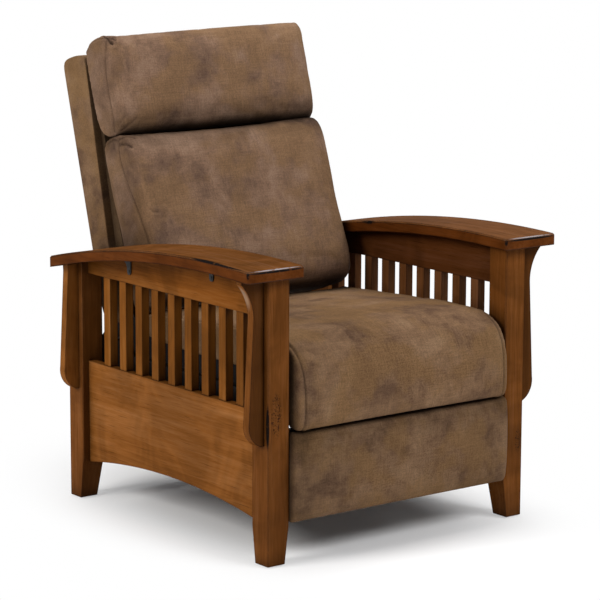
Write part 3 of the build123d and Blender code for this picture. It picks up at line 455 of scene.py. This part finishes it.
def back_place(x, depth, height):
    """Point of the upright back drawing as a place in the row frame.

    x is metres. Depth and height are millimetres in front of and above the pivot.
    """
    lean = math.radians(BACK_LEAN)
    y, z = -depth * MM, height * MM
    turned = Vector((x, y * math.cos(lean) + z * math.sin(lean), z * math.cos(lean) - y * math.sin(lean)))
    return turned + Vector((0, BACK_PIVOT.y, BACK_PIVOT.z))


def back_drawing(points):
    """Places in the row frame as x, depth and height of the upright back drawing, in metres."""
    lean = math.radians(BACK_LEAN)
    y, z = points[:, 1] - BACK_PIVOT.y, points[:, 2] - BACK_PIVOT.z
    depth = z * math.sin(lean) - y * math.cos(lean)
    return np.stack([points[:, 0], depth, y * math.sin(lean) + z * math.cos(lean)], axis=1)


def from_back_drawing(drawn):
    lean = math.radians(BACK_LEAN)
    y = drawn[:, 2] * math.sin(lean) - drawn[:, 1] * math.cos(lean) + BACK_PIVOT.y
    z = drawn[:, 2] * math.cos(lean) + drawn[:, 1] * math.sin(lean) + BACK_PIVOT.z
    return np.stack([drawn[:, 0], y, z], axis=1)


def front_drawing(points):
    return points - np.array([0, FRONT_Y, 0])


def from_front_drawing(drawn):
    return drawn + np.array([0, FRONT_Y, 0])


def front_place(x, y, z):
    """Point whose x is metres, and y and z are millimetres behind the front posts' face and above the floor."""
    return Vector((x, FRONT_Y + y * MM, z * MM))


def cage_mesh(name, stations, place, cap_share=0.86, cap_bulge=0.5):
    """Closed cage from rings across the chair. A station is (x, ring), a ring a list of (a, b) in millimetres."""
    mesh = bmesh.new()
    rings = []
    for x, ring in stations:
        rings.append([mesh.verts.new(place(x, a, b)) for a, b in ring])
    for first, second in zip(rings, rings[1:]):
        count = len(first)
        for i in range(count):
            j = (i + 1) % count
            mesh.faces.new((first[i], first[j], second[j], second[i]))
    for (x, ring), edge, way in ((stations[0], rings[0], -1), (stations[-1], rings[-1], 1)):
        middle = (sum(a for a, b in ring) / len(ring), sum(b for a, b in ring) / len(ring))
        inner = []
        for a, b in ring:
            aa = middle[0] + (a - middle[0]) * cap_share
            bb = middle[1] + (b - middle[1]) * cap_share
            inner.append(mesh.verts.new(place(x + way * cap_bulge * MM, aa, bb)))
        count = len(edge)
        for i in range(count):
            j = (i + 1) % count
            if way < 0:
                mesh.faces.new((edge[i], inner[i], inner[j], edge[j]))
            else:
                mesh.faces.new((edge[i], edge[j], inner[j], inner[i]))
        mesh.faces.new(inner if way > 0 else list(reversed(inner)))
    bmesh.ops.recalc_face_normals(mesh, faces=mesh.faces)
    return add_mesh_object(name, mesh)


def apply_modifiers(piece):
    """Turns the piece's modifiers into its mesh."""
    depsgraph = bpy.context.evaluated_depsgraph_get()
    made = bpy.data.meshes.new_from_object(piece.evaluated_get(depsgraph))
    piece.modifiers.clear()
    piece.data = made


def subdivide(piece, levels):
    modifier = piece.modifiers.new("subdivide", "SUBSURF")
    modifier.levels = modifier.render_levels = levels
    apply_modifiers(piece)


def remesh(piece, voxel):
    modifier = piece.modifiers.new("remesh", "REMESH")
    modifier.mode = "VOXEL"
    modifier.voxel_size = voxel
    apply_modifiers(piece)


def points_of(piece):
    points = np.empty(len(piece.data.vertices) * 3)
    piece.data.vertices.foreach_get("co", points)
    return points.reshape(-1, 3)


def normals_of(piece):
    normals = np.empty(len(piece.data.vertices) * 3)
    piece.data.vertices.foreach_get("normal", normals)
    return normals.reshape(-1, 3)


def set_points(piece, points):
    piece.data.vertices.foreach_set("co", points.ravel())
    piece.data.update()


def swell(piece, voxel, cap):
    """Inflates a piece as filled cloth.

    No point moves further than the cap. Moves inwards and across the chair are cut, so that ends and corners stay.
    """
    remesh(piece, voxel)
    before, outward = points_of(piece), normals_of(piece)
    modifier = piece.modifiers.new("swell", "CLOTH")
    settings = modifier.settings
    settings.quality = 5
    settings.mass = 0.3
    settings.tension_stiffness = settings.compression_stiffness = 15
    settings.bending_stiffness = 0.5
    settings.use_pressure = True
    settings.uniform_pressure_force = SWELL_PRESSURE
    settings.effector_weights.gravity = 0
    modifier.point_cache.frame_start = 1
    modifier.point_cache.frame_end = SWELL_FRAMES
    scene = bpy.context.scene
    for frame_number in range(1, SWELL_FRAMES + 1):
        scene.frame_set(frame_number)
    apply_modifiers(piece)
    moved = points_of(piece) - before
    inward = np.minimum((moved * outward).sum(axis=1, keepdims=True), 0)
    moved = (moved - SWELL_INWARD_UNDONE * inward * outward) * SWELL_AXIS_SHARES
    far = np.linalg.norm(moved, axis=1, keepdims=True)
    set_points(piece, before + moved * np.minimum(1, cap / np.maximum(far, 1e-9)))
    scene.frame_set(1)
    subdivide(piece, 1)


def fit(piece, to_drawing, from_drawing, low, high):
    """Stretches a piece so that it fills its room in a drawing, given in millimetres."""
    drawn = to_drawing(points_of(piece))
    now_low, now_high = drawn.min(axis=0), drawn.max(axis=0)
    low, high = np.array(low) * MM, np.array(high) * MM
    drawn = low + (drawn - now_low) * (high - low) / (now_high - now_low)
    set_points(piece, from_drawing(drawn))


def reshape(piece, to_drawing, from_drawing, change):
    """Changes a piece's points in a drawing, in millimetres. The change gets and returns three rows of numbers."""
    drawn = to_drawing(points_of(piece)) / MM
    set_points(piece, from_drawing(np.stack(change(*drawn.T), axis=1) * MM))


def ease(value, start, end):
    """Smooth step from 0 to 1."""
    share = np.clip((value - start) / (end - start), 0, 1)
    return share * share * (3 - 2 * share)


def on_surface(piece, path, step=0.004):
    """The path in short runs that lie on the piece."""
    tree = BVHTree.FromObject(piece, bpy.context.evaluated_depsgraph_get())
    laid = []
    for start, end in zip(path, path[1:]):
        count = max(1, round((end - start).length / step))
        laid += [tree.find_nearest(start.lerp(end, i / count))[0] for i in range(count)]
    laid.append(tree.find_nearest(path[-1])[0])
    return laid


def distance_to_path(points, path):
    """Distance from each point to a line of straight runs."""
    best = np.full(len(points), np.inf)
    path = np.array([tuple(p) for p in path])
    reach = 0.03
    for start, end in zip(path, path[1:]):
        run = end - start
        close = np.linalg.norm(points - start, axis=1) < reach
        offset = points[close] - start
        along = np.clip((offset @ run) / max(run @ run, 1e-12), 0, 1)
        best[close] = np.minimum(best[close], np.linalg.norm(offset - along[:, None] * run, axis=1))
    return best


def sew(piece, paths, width, depth, puff, dark):
    """Presses seams or creases into a piece along paths, lets the cloth beside them stand proud and marks them for
    painted shade.
    """
    points, normals = points_of(piece), normals_of(piece)
    if "seam" not in piece.data.attributes:
        piece.data.attributes.new("seam", "FLOAT", "POINT")
    mark = np.empty(len(points))
    piece.data.attributes["seam"].data.foreach_get("value", mark)
    sunk = np.zeros(len(points))
    for path in paths:
        near = np.minimum(distance_to_path(points, on_surface(piece, path)), 1)
        fold = np.exp(-((near / width) ** 2))
        beside = np.exp(-(((near - 3.2 * width) / (1.8 * width)) ** 2))
        pressed = puff * beside - depth * fold
        sunk = np.where(np.abs(pressed) > np.abs(sunk), pressed, sunk)
        # Painted shade along the path
        mark = np.maximum(mark, dark * np.exp(-((near / (0.8 * width)) ** 2)))
    set_points(piece, points + normals * sunk[:, None])
    piece.data.attributes["seam"].data.foreach_set("value", mark)


def shade(piece, to_drawing, amount):
    """Marks painted shade on the cloth, from 0 to 1, from the piece's points in a drawing in millimetres."""
    drawn = to_drawing(points_of(piece)) / MM
    if "hollow" not in piece.data.attributes:
        piece.data.attributes.new("hollow", "FLOAT", "POINT")
    piece.data.attributes["hollow"].data.foreach_set("value", np.clip(amount(*drawn.T), 0, 1))


def finish_soft(piece, body, nodes, material):
    piece.data.materials.clear()
    piece.data.materials.append(material)
    for polygon in piece.data.polygons:
        polygon.use_smooth = True
    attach(piece, body)
    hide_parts(*nodes)


def mirrored_stations(half):
    """Stations for both sides from those of the +X side, which start at the middle."""
    return [(-x, ring) for x, ring in reversed(half[1:])] + half


def drawn_in(ring, front_from, pull, shrink, middle):
    """Ring whose points deeper than front_from move back by up to pull, and which shrinks towards its middle."""
    deepest = max(a for a, b in ring)
    made = []
    for a, b in ring:
        a = a - pull * max(a - front_from, 0) / (deepest - front_from)
        made.append((middle[0] + (a - middle[0]) * shrink, middle[1] + (b - middle[1]) * shrink))
    return made


def both_ends(half, path, place):
    """The same line across each end of a cushion: a path of (a, b) at a distance from the middle."""
    return [[place(side * half, a, b) for a, b in path] for side in (-1, 1)]


def near_end(half, lines):
    """Lines at the -X end of a back cushion. A point is metres in from the end, then depth and height."""
    return [[back_place(a - half, b, c) for a, b, c in line] for line in lines]


HEAD_RING = [(8, 500), (2, 560), (2, 630), (5, 668), (14, 686), (38, 693), (66, 694), (92, 691), (106, 678),
             (110, 640), (111, 580), (109, 520), (102, 490), (86, 477), (58, 474), (28, 478)]
HEAD_ROOM = ((0, 472), (117, 700))
HEAD_SEAM = [(8, 684), (60, 694), (100, 688), (96, 668), (84, 640), (78, 600), (77, 550), (78, 510), (72, 480)]
HEAD_PLEATS = (
    [(0, 90, 694), (0.006, 104, 684), (0.012, 110, 672)],
    [(0.006, 88, 697), (0.014, 102, 691), (0.024, 108, 682)],
    [(0.018, 92, 697), (0.028, 104, 692)],
)
HEAD_CREASES = (
    [(0.010, 88, 480), (0.026, 104, 490), (0.042, 111, 500)],
    [(0.004, 92, 494), (0.014, 108, 506)],
)


def make_headrest():
    middle = (60, 585)
    half = [
        (0, HEAD_RING),
        (0.45 * HEAD_HALF, HEAD_RING),
        (0.84 * HEAD_HALF, HEAD_RING),
        (0.96 * HEAD_HALF, drawn_in(HEAD_RING, 60, 3, 1.0, middle)),
        (0.99 * HEAD_HALF, drawn_in(HEAD_RING, 60, 10, 0.995, middle)),
        (HEAD_HALF, drawn_in(HEAD_RING, 60, 22, 0.98, middle)),
    ]
    piece = cage_mesh("headrest_pillow", mirrored_stations(half), back_place)
    subdivide(piece, 2)
    swell(piece, 0.005, 0.003)
    half_mm = HEAD_HALF / MM
    fit(piece, back_drawing, from_back_drawing, (-half_mm, *HEAD_ROOM[0]), (half_mm, *HEAD_ROOM[1]))

    def crown(x, depth, height):
        side = np.abs(x / half_mm)
        height = height + (4.5 * x / half_mm - 2 * side**2 - 1.5 * side**4) * ease(height, 560, 700)
        height = height + 2.5 * ease(-x, 0.8 * half_mm, half_mm) * ease(height, 640, 690)
        wider = x + 3 * ease(x, 0.6 * half_mm, half_mm)
        return wider, depth + 4 * (1 - side**2) * ease(depth, 80, 110), height

    reshape(piece, back_drawing, from_back_drawing, crown)
    seams = both_ends(HEAD_HALF, HEAD_SEAM, back_place)
    pleats, creases = near_end(HEAD_HALF, HEAD_PLEATS), near_end(HEAD_HALF, HEAD_CREASES)
    sew(piece, seams, width=0.0020, depth=0.0026, puff=0.0012, dark=0.45)
    sew(piece, pleats, width=0.0030, depth=0.0044, puff=0.0016, dark=1.0)
    sew(piece, creases, width=0.0030, depth=0.0014, puff=0.0006, dark=0.2)

    # Painted shade: darker on the lower front and at the -X end
    def shade_amount(x, depth, height):
        below = 0.55 * (1 - ease(height, 474, 545)) * ease(depth, 20, 80)
        return np.maximum(below, 0.24 * ease(-x, half_mm - 8, half_mm))

    shade(piece, back_drawing, shade_amount)
    finish_soft(piece, "back", ["headrest"], BROWN_BACK)


LUMBAR_RING = [(8, 440), (-8, 380), (-20, 300), (-30, 220), (-40, 140), (-46, 98), (-24, 84), (26, 83), (78, 84),
               (120, 90), (146, 108), (153, 140), (147, 200), (138, 270), (131, 350), (127, 415), (118, 448),
               (94, 461), (54, 464), (18, 458)]
LUMBAR_ROOM = ((-46, 79), (160, 471))
LUMBAR_SEAM = [(10, 462), (60, 468), (84, 462), (80, 440), (80, 415), (90, 370), (108, 309), (127, 231),
               (138, 160), (130, 112), (96, 88)]
LUMBAR_SEAM_OUT = 0.005
LUMBAR_PLEATS = (
    [(0, 80, 462), (0.014, 100, 462), (0.026, 112, 456)],
    [(0, 84, 450), (0.008, 106, 446), (0.012, 117, 436)],
)
LUMBAR_PLEATS_OUT = 0.003
LUMBAR_CREASE = ((-0.255, 137, 296), (-0.247, 138, 288), (-0.236, 139, 286))


def hollow_back(ring, depth):
    """Ring whose back stands forward by the side panels' edge less a depth."""
    return [(max(a, 52 - 0.06 * b - depth), b) for a, b in ring]


def make_lumbar():
    middle = (60, 280)
    half = [
        (0, LUMBAR_RING),
        (0.45 * LUMBAR_HALF, LUMBAR_RING),
        (0.84 * LUMBAR_HALF, LUMBAR_RING),
        (0.955 * LUMBAR_HALF, hollow_back(drawn_in(LUMBAR_RING, 50, 4, 1.0, middle), 26)),
        (0.988 * LUMBAR_HALF, hollow_back(drawn_in(LUMBAR_RING, 50, 13, 0.998, middle), 10)),
        (LUMBAR_HALF, hollow_back(drawn_in(LUMBAR_RING, 50, 26, 0.992, middle), 0)),
    ]
    piece = cage_mesh("lower_back_cushion", mirrored_stations(half), back_place)
    subdivide(piece, 2)
    swell(piece, 0.0055, 0.003)
    half_mm = LUMBAR_HALF / MM
    fit(piece, back_drawing, from_back_drawing, (-half_mm, *LUMBAR_ROOM[0]), (half_mm, *LUMBAR_ROOM[1]))

    def bulge(x, depth, height):
        wide = ease(height, 270, 350) * (1 - 0.8 * ease(height, 420, 470))
        side = np.abs(x / half_mm)
        lifted = 5 * ease(x, 0, half_mm) * ease(height, 400, 470)
        return x * (1 + 0.012 * wide), depth + 4 * (1 - side**2) * ease(depth, 90, 130), height + lifted

    reshape(piece, back_drawing, from_back_drawing, bulge)
    seams = both_ends(LUMBAR_HALF + LUMBAR_SEAM_OUT, LUMBAR_SEAM, back_place)
    pleats = near_end(LUMBAR_HALF + LUMBAR_PLEATS_OUT, LUMBAR_PLEATS)
    crease = [back_place(*point) for point in LUMBAR_CREASE]
    sew(piece, seams, width=0.0020, depth=0.0026, puff=0.0012, dark=0.6)
    sew(piece, pleats, width=0.0028, depth=0.0038, puff=0.0012, dark=0.9)
    sew(piece, [crease], width=0.0022, depth=0.0010, puff=0.0004, dark=0.3)

    # Painted shade: darker towards the top under the headrest, towards the bottom and at the -X end
    def shade_amount(x, depth, height):
        side = 0.26 * ease(-x, half_mm - 12, half_mm)
        return np.maximum(0.50 * ease(height, 405, 468) + 0.20 * (1 - ease(height, 84, 125)), side)

    shade(piece, back_drawing, shade_amount)
    finish_soft(piece, "back", ["back_cushion"], BROWN_BACK)


SLAB_RING = [(-104, 66), (-103, 160), (-100, 330), (-97, 500), (-94, 640), (-94, 662), (-86, 673), (-54, 674),
             (-26, 671), (-8, 664), (-6, 636), (-18, 500), (-30, 330), (-42, 160), (-49, 66), (-56, 58), (-96, 58)]
SLAB_ROOM = ((-104, 57), (-5, 676))
# The -X end of the outer back stops short of its room by this, and its lower corners end higher, in millimetres
SLAB_NARROWER = 1.5
SLAB_CORNER_RISE = 32
# How far the ends of the outer back, seat and footrest covers stand out past their solids
END_BULGE = 0.0055


def make_slab():
    short = [(a, b + SLAB_CORNER_RISE if b < 100 else b) for a, b in SLAB_RING]
    half = [
        (0, SLAB_RING),
        (0.5 * SLAB_HALF, SLAB_RING),
        (0.9 * SLAB_HALF, SLAB_RING),
        (0.96 * SLAB_HALF, short),
        (0.992 * SLAB_HALF, short),
        (SLAB_HALF, drawn_in(short, -200, 0, 0.994, (-60, 360))),
    ]
    piece = cage_mesh("outer_back", mirrored_stations(half), back_place, cap_share=0.8)
    subdivide(piece, 4)
    half_mm = (SLAB_HALF + END_BULGE) / MM
    low, high = (SLAB_NARROWER - half_mm, *SLAB_ROOM[0]), (half_mm, *SLAB_ROOM[1])
    fit(piece, back_drawing, from_back_drawing, low, high)
    finish_soft(piece, "back", ["back_slab"], BROWN)


SEAT_RING = [(550, 404), (548, 428), (532, 440), (496, 443), (374, 449), (250, 456), (150, 461), (80, 461),
             (42, 456), (14, 444), (-7, 425), (-19, 398), (-24, 360), (-24, 322), (-21, 296), (-14, 284),
             (24, 283), (29, 298), (29, 360), (34, 386), (200, 386), (400, 386), (540, 388)]
SEAT_ROOM = ((-28, 279), (551, 473))
SEAT_SEAM = [(540, 436), (496, 446), (374, 451), (251, 457), (150, 462), (65, 461), (36, 457), (8, 447),
             (-14, 428), (-27, 400), (-30, 362), (-30, 320), (-27, 292), (-6, 280)]
SEAT_SEAM_IN = 0.006


def raised(ring, rise):
    """Ring whose top stands higher, as a filled cushion's does in the middle."""
    low, high = 430, 461
    return [(a, b + rise * max(0, b - low) / (high - low)) for a, b in ring]


def rounded_off(back, top, bottom):
    """The seat's ring with its front moved back, and its top and bottom moved down, in millimetres."""
    return [(a + back if a < 20 else a, b - top if b > 440 else b - bottom if b < 290 else b) for a, b in SEAT_RING]


def make_seat():
    half = [
        (0, raised(SEAT_RING, 9)),
        (0.5 * SEAT_HALF, raised(SEAT_RING, 7)),
        (0.85 * SEAT_HALF, raised(SEAT_RING, 2)),
        (0.97 * SEAT_HALF, SEAT_RING),
        (0.99 * SEAT_HALF, rounded_off(1, 1, 0)),
        (0.997 * SEAT_HALF, rounded_off(2, 2, 2)),
        (SEAT_HALF, rounded_off(3, 4, 4)),
    ]
    stations = mirrored_stations(half)
    piece = cage_mesh("seat_cushion_cover", stations, front_place, cap_share=0.85, cap_bulge=0.0)
    subdivide(piece, 2)
    swell(piece, 0.006, 0.0035)
    half_mm = (SEAT_HALF + END_BULGE) / MM
    fit(piece, front_drawing, from_front_drawing, (-half_mm, *SEAT_ROOM[0]), (half_mm, *SEAT_ROOM[1]))
    seams = both_ends(SEAT_HALF - SEAT_SEAM_IN, SEAT_SEAM, front_place)
    sew(piece, seams, width=0.0022, depth=0.0028, puff=0.0012, dark=0.7)
    finish_soft(piece, "seat", ["seat_cushion"], BROWN)


PAD_RING = [(19, 92), (19, 180), (19, 276), (0, 276), (-12, 272), (-17, 256), (-19, 220), (-20, 184),
            (-19, 145), (-16, 113), (-9, 97), (4, 91)]
PAD_ROOM = ((-27, 88), (20, 279))
PAD_MIDDLE_HEIGHT = 184


def flatter(share):
    """The footrest's ring with its front less full."""
    return [(a if a > 0 else share * a, b) for a, b in PAD_RING]


def make_pad():
    half = [
        (0, PAD_RING),
        (0.6 * PAD_HALF, PAD_RING),
        (0.9 * PAD_HALF, flatter(0.95)),
        (0.975 * PAD_HALF, flatter(0.8)),
        (0.99 * PAD_HALF, flatter(0.6)),
        (PAD_HALF, [(a, PAD_MIDDLE_HEIGHT + (b - PAD_MIDDLE_HEIGHT) * 0.995) for a, b in flatter(0.4)]),
    ]
    stations = mirrored_stations(half)
    piece = cage_mesh("footrest_cover", stations, front_place, cap_share=0.8, cap_bulge=0.0)
    subdivide(piece, 2)
    swell(piece, 0.005, 0.0025)
    half_mm = (PAD_HALF + END_BULGE) / MM
    fit(piece, front_drawing, from_front_drawing, (-half_mm, *PAD_ROOM[0]), (half_mm, *PAD_ROOM[1]))

    # Painted shade: darker all over, more towards the top and the -X end
    def shade_amount(x, depth, height):
        return 0.14 + 0.22 * ease(height, 215, 275) + 0.2 * (1 - ease(x, -272, -200))

    shade(piece, front_drawing, shade_amount)
    finish_soft(piece, "footrest", ["footrest_pad"], BROWN)


CLOTH_ROWS = 20
CLOTH_COLUMNS = 96
TAIL_COLUMNS = 36
CLOTH_THICKNESS = 0.001
CLOTH_SLACK = 0.0005
CLOTH_WAVES = 9


def cloth_sheet(name, x, columns, place):
    """Thin dark sheet in the side view. place gives Y and Z for a share along it and a share up it."""
    mesh = bmesh.new()
    grid = []
    for i in range(columns + 1):
        for j in range(CLOTH_ROWS + 1):
            along, up = i / columns, j / CLOTH_ROWS
            wave = math.sin(CLOTH_WAVES * math.pi * along + math.copysign(1, x))
            slack = CLOTH_SLACK * math.sin(math.pi * up) * wave
            y, z = place(along, up)
            grid.append(mesh.verts.new((x + slack, y, z)))
    for i in range(columns):
        for j in range(CLOTH_ROWS):
            a = i * (CLOTH_ROWS + 1) + j
            b = a + CLOTH_ROWS + 1
            mesh.faces.new((grid[a], grid[a + 1], grid[b + 1], grid[b]))
    piece = add_mesh_object(name, mesh)
    thick = piece.modifiers.new("thickness", "SOLIDIFY")
    thick.thickness = CLOTH_THICKNESS
    thick.offset = 0
    apply_modifiers(piece)
    for polygon in piece.data.polygons:
        polygon.use_smooth = True
    piece.data.materials.append(BLACK_CLOTH)
    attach(piece, "seat")
    return piece


# Upper edge of a tail as y and z, and the height of its lower edge, in millimetres
TAIL_TOP = [(542, 441), (590, 424), (650, 402), (688, 386), (710, 368), (723, 350), (728, 328)]
TAIL_BOTTOM = 300


def make_side_cloths():
    """Dark cloths down both sides of the seat, and their tails that close the sides behind it."""
    for suffix in ("left", "right"):
        low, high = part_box("seat_cloth_" + suffix)
        x = (low.x + high.x) / 2
        size = (high.y - low.y, high.z - low.z)

        def flat_place(along, up):
            return low.y + along * size[0], low.z + up * size[1]

        def tail_place(along, up):
            reach = along * (len(TAIL_TOP) - 1)
            i = min(int(reach), len(TAIL_TOP) - 2)
            y, z = (a + (reach - i) * (b - a) for a, b in zip(TAIL_TOP[i], TAIL_TOP[i + 1]))
            return FRONT_Y + y * MM, (TAIL_BOTTOM + up * (z - TAIL_BOTTOM)) * MM

        rail, cloth, tail = "seat_rail_" + suffix, "side_cloth_" + suffix, "side_cloth_tail_" + suffix
        side = cloth_sheet(cloth, x, CLOTH_COLUMNS, flat_place)
        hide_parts("seat_cloth_" + suffix)
        cloth_sheet(tail, x, TAIL_COLUMNS, tail_place)


# Arch of the arms' underside: its highest point and the parabola's divisor, in millimetres
ARM_UNDER_HEIGHT = 603.4
ARM_UNDER_MIDDLE = 110
ARM_UNDER_DIVISOR = 5380

# Angles under the arms. Places and outlines are millimetres, and a screw is its middle along and down and its radius.
BRACKET_PLACES = (209, 514)
BRACKET_OUTLINE = [(0, 0), (33, 0), (33, -3), (25, -6), (18, -12), (14, -20), (13, -32), (10, -37), (3, -37),
                   (0, -33)]
BRACKET_SHELF = [(0, 0), (13, 0), (13, -2.5), (0, -2.5)]
BRACKET_SCREW = (6.5, -30, 3.4)
BRACKET_SCREW_SIDES = 12
BRACKET_PLATE = 0.0028
BRACKET_SHELF_OUT = 0.020
BRACKET_SCREW_OUT = 0.0042


def arm_underside(y):
    return ARM_UNDER_HEIGHT - (y - ARM_UNDER_MIDDLE) ** 2 / ARM_UNDER_DIVISOR


def prism(mesh, outline, y, near, far):
    """Plate along the outer face of a rail. Its outline is in millimetres behind y and below the arm's underside."""
    rings = []
    for x in (near, far):
        rings.append([mesh.verts.new(front_place(x, y + a, arm_underside(y + a) + b)) for a, b in outline])
    mesh.faces.new(rings[0])
    mesh.faces.new(list(reversed(rings[1])))
    for i in range(len(outline)):
        j = (i + 1) % len(outline)
        mesh.faces.new((rings[0][i], rings[1][i], rings[1][j], rings[0][j]))


def make_brackets():
    """The dark angles under the arms, with a curved gusset, as long as the photo shows them."""
    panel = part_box("side_panel_left")[1].x
    along, down, radius = BRACKET_SCREW
    turns = [2 * math.pi * i / BRACKET_SCREW_SIDES for i in range(BRACKET_SCREW_SIDES)]
    head = [(along + radius * math.cos(turn), down + radius * math.sin(turn)) for turn in turns]
    mesh = bmesh.new()
    for way in (-1, 1):
        for y in BRACKET_PLACES:
            prism(mesh, BRACKET_OUTLINE, y, way * panel, way * (panel + BRACKET_PLATE))
            prism(mesh, BRACKET_SHELF, y, way * panel, way * (panel + BRACKET_SHELF_OUT))
            prism(mesh, head, y, way * (panel + BRACKET_PLATE), way * (panel + BRACKET_SCREW_OUT))
    bmesh.ops.recalc_face_normals(mesh, faces=mesh.faces)
    piece = add_mesh_object("arm_angles", mesh)
    piece.data.materials.append(ANGLE_STEEL)
    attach(piece, "frame")
    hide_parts("arm_brackets")


# Stage

FLOOR_REACH = 30.0
# Between these distances, in the floor's stretched and shifted coordinates, it fades to white for the camera
FLOOR_STRETCH = (1.25, 0.70, 1)
FLOOR_SHIFT = (0, 0.04, 0)
WHITE_FROM, WHITE_TO = 0.26, 0.68

# Name, place, target, size, watts and color
LAMPS = (
    ("key", (-3.4, 0.1, 2.2), (0, 0, 0.45), (1.5, 1.3), 90, (1.0, 0.985, 0.96)),
    ("fill", (1.1, -3.2, 3.0), (0, 0, 0.5), (2.0, 1.6), 97, (1, 1, 1)),
    ("top", (0.15, 0.35, 3.3), (0, 0.0, 0.4), (1.7, 1.7), 58, (1, 1, 1)),
)


def make_floor():
    """White floor that keeps the chair's shadow and turns pure white for the camera further out."""
    mesh = bpy.data.meshes.new("floor")
    corners = [(x * FLOOR_REACH, y * FLOOR_REACH, 0) for x, y in ((-1, -1), (1, -1), (1, 1), (-1, 1))]
    mesh.from_pydata(corners, [], [(0, 1, 2, 3)])
    floor = add_object("floor", mesh)
    g = Graph("floor_white")
    g.shader.inputs["Base Color"].default_value = (0.97, 0.97, 0.975, 1)
    g.shader.inputs["Roughness"].default_value = 0.9
    g.shader.inputs["Specular IOR Level"].default_value = 0.1
    distance = g.node("ShaderNodeVectorMath", operation="LENGTH")
    g.put(distance.inputs[0], g.scaled(g.coordinates(), FLOOR_STRETCH, shift=FLOOR_SHIFT))
    far = g.level(distance.outputs["Value"], WHITE_FROM, WHITE_TO)
    path = g.node("ShaderNodeLightPath")
    seen = g.math("MAXIMUM", path.outputs["Is Camera Ray"], path.outputs["Is Glossy Ray"])
    seen = g.math("MAXIMUM", seen, path.outputs["Is Transmission Ray"])
    white = g.node("ShaderNodeEmission")
    white.inputs["Strength"].default_value = 1.0
    mix = g.node("ShaderNodeMixShader")
    g.put(mix.inputs["Fac"], g.math("MULTIPLY", far, seen))
    g.put(mix.inputs[1], g.shader.outputs["BSDF"])
    g.put(mix.inputs[2], white.outputs["Emission"])
    g.put(g.tree.nodes["Material Output"].inputs["Surface"], mix.outputs["Shader"])
    mesh.materials.append(g.material)


def area_light(name, place, target, size, power, color):
    data = bpy.data.lights.new(name, "AREA")
    data.shape = "RECTANGLE"
    data.size, data.size_y = size
    data.energy = power
    data.color = color
    light = add_object(name, data)
    light.location = place
    light.rotation_mode = "QUATERNION"
    light.rotation_quaternion = (Vector(target) - Vector(place)).to_track_quat("-Z", "Y")


def make_light():
    """Three soft lamps and a dim sky that shows as white."""
    world = bpy.data.worlds.new("studio")
    bpy.context.scene.world = world
    world.use_nodes = True
    nodes, links = world.node_tree.nodes, world.node_tree.links
    plain = nodes["Background"]
    plain.inputs["Color"].default_value = (0.95, 0.97, 1.0, 1)
    plain.inputs["Strength"].default_value = 0.24
    white = nodes.new("ShaderNodeBackground")
    white.inputs["Color"].default_value = (1, 1, 1, 1)
    white.inputs["Strength"].default_value = 1.0
    path = nodes.new("ShaderNodeLightPath")
    seen = path.outputs["Is Camera Ray"]
    for kind in ("Is Glossy Ray", "Is Transmission Ray"):
        both = nodes.new("ShaderNodeMath")
        both.operation = "MAXIMUM"
        links.new(seen, both.inputs[0])
        links.new(path.outputs[kind], both.inputs[1])
        seen = both.outputs["Value"]
    mix = nodes.new("ShaderNodeMixShader")
    links.new(seen, mix.inputs["Fac"])
    links.new(plain.outputs["Background"], mix.inputs[1])
    links.new(white.outputs["Background"], mix.inputs[2])
    links.new(mix.outputs["Shader"], nodes["World Output"].inputs["Surface"])
    for lamp in LAMPS:
        area_light(*lamp)


make_camera()
dress_nodes()
make_headrest()
make_lumbar()
make_slab()
make_seat()
make_pad()
make_side_cloths()
make_brackets()
make_floor()
make_light()
bpy.context.scene.view_settings.view_transform = "Standard"
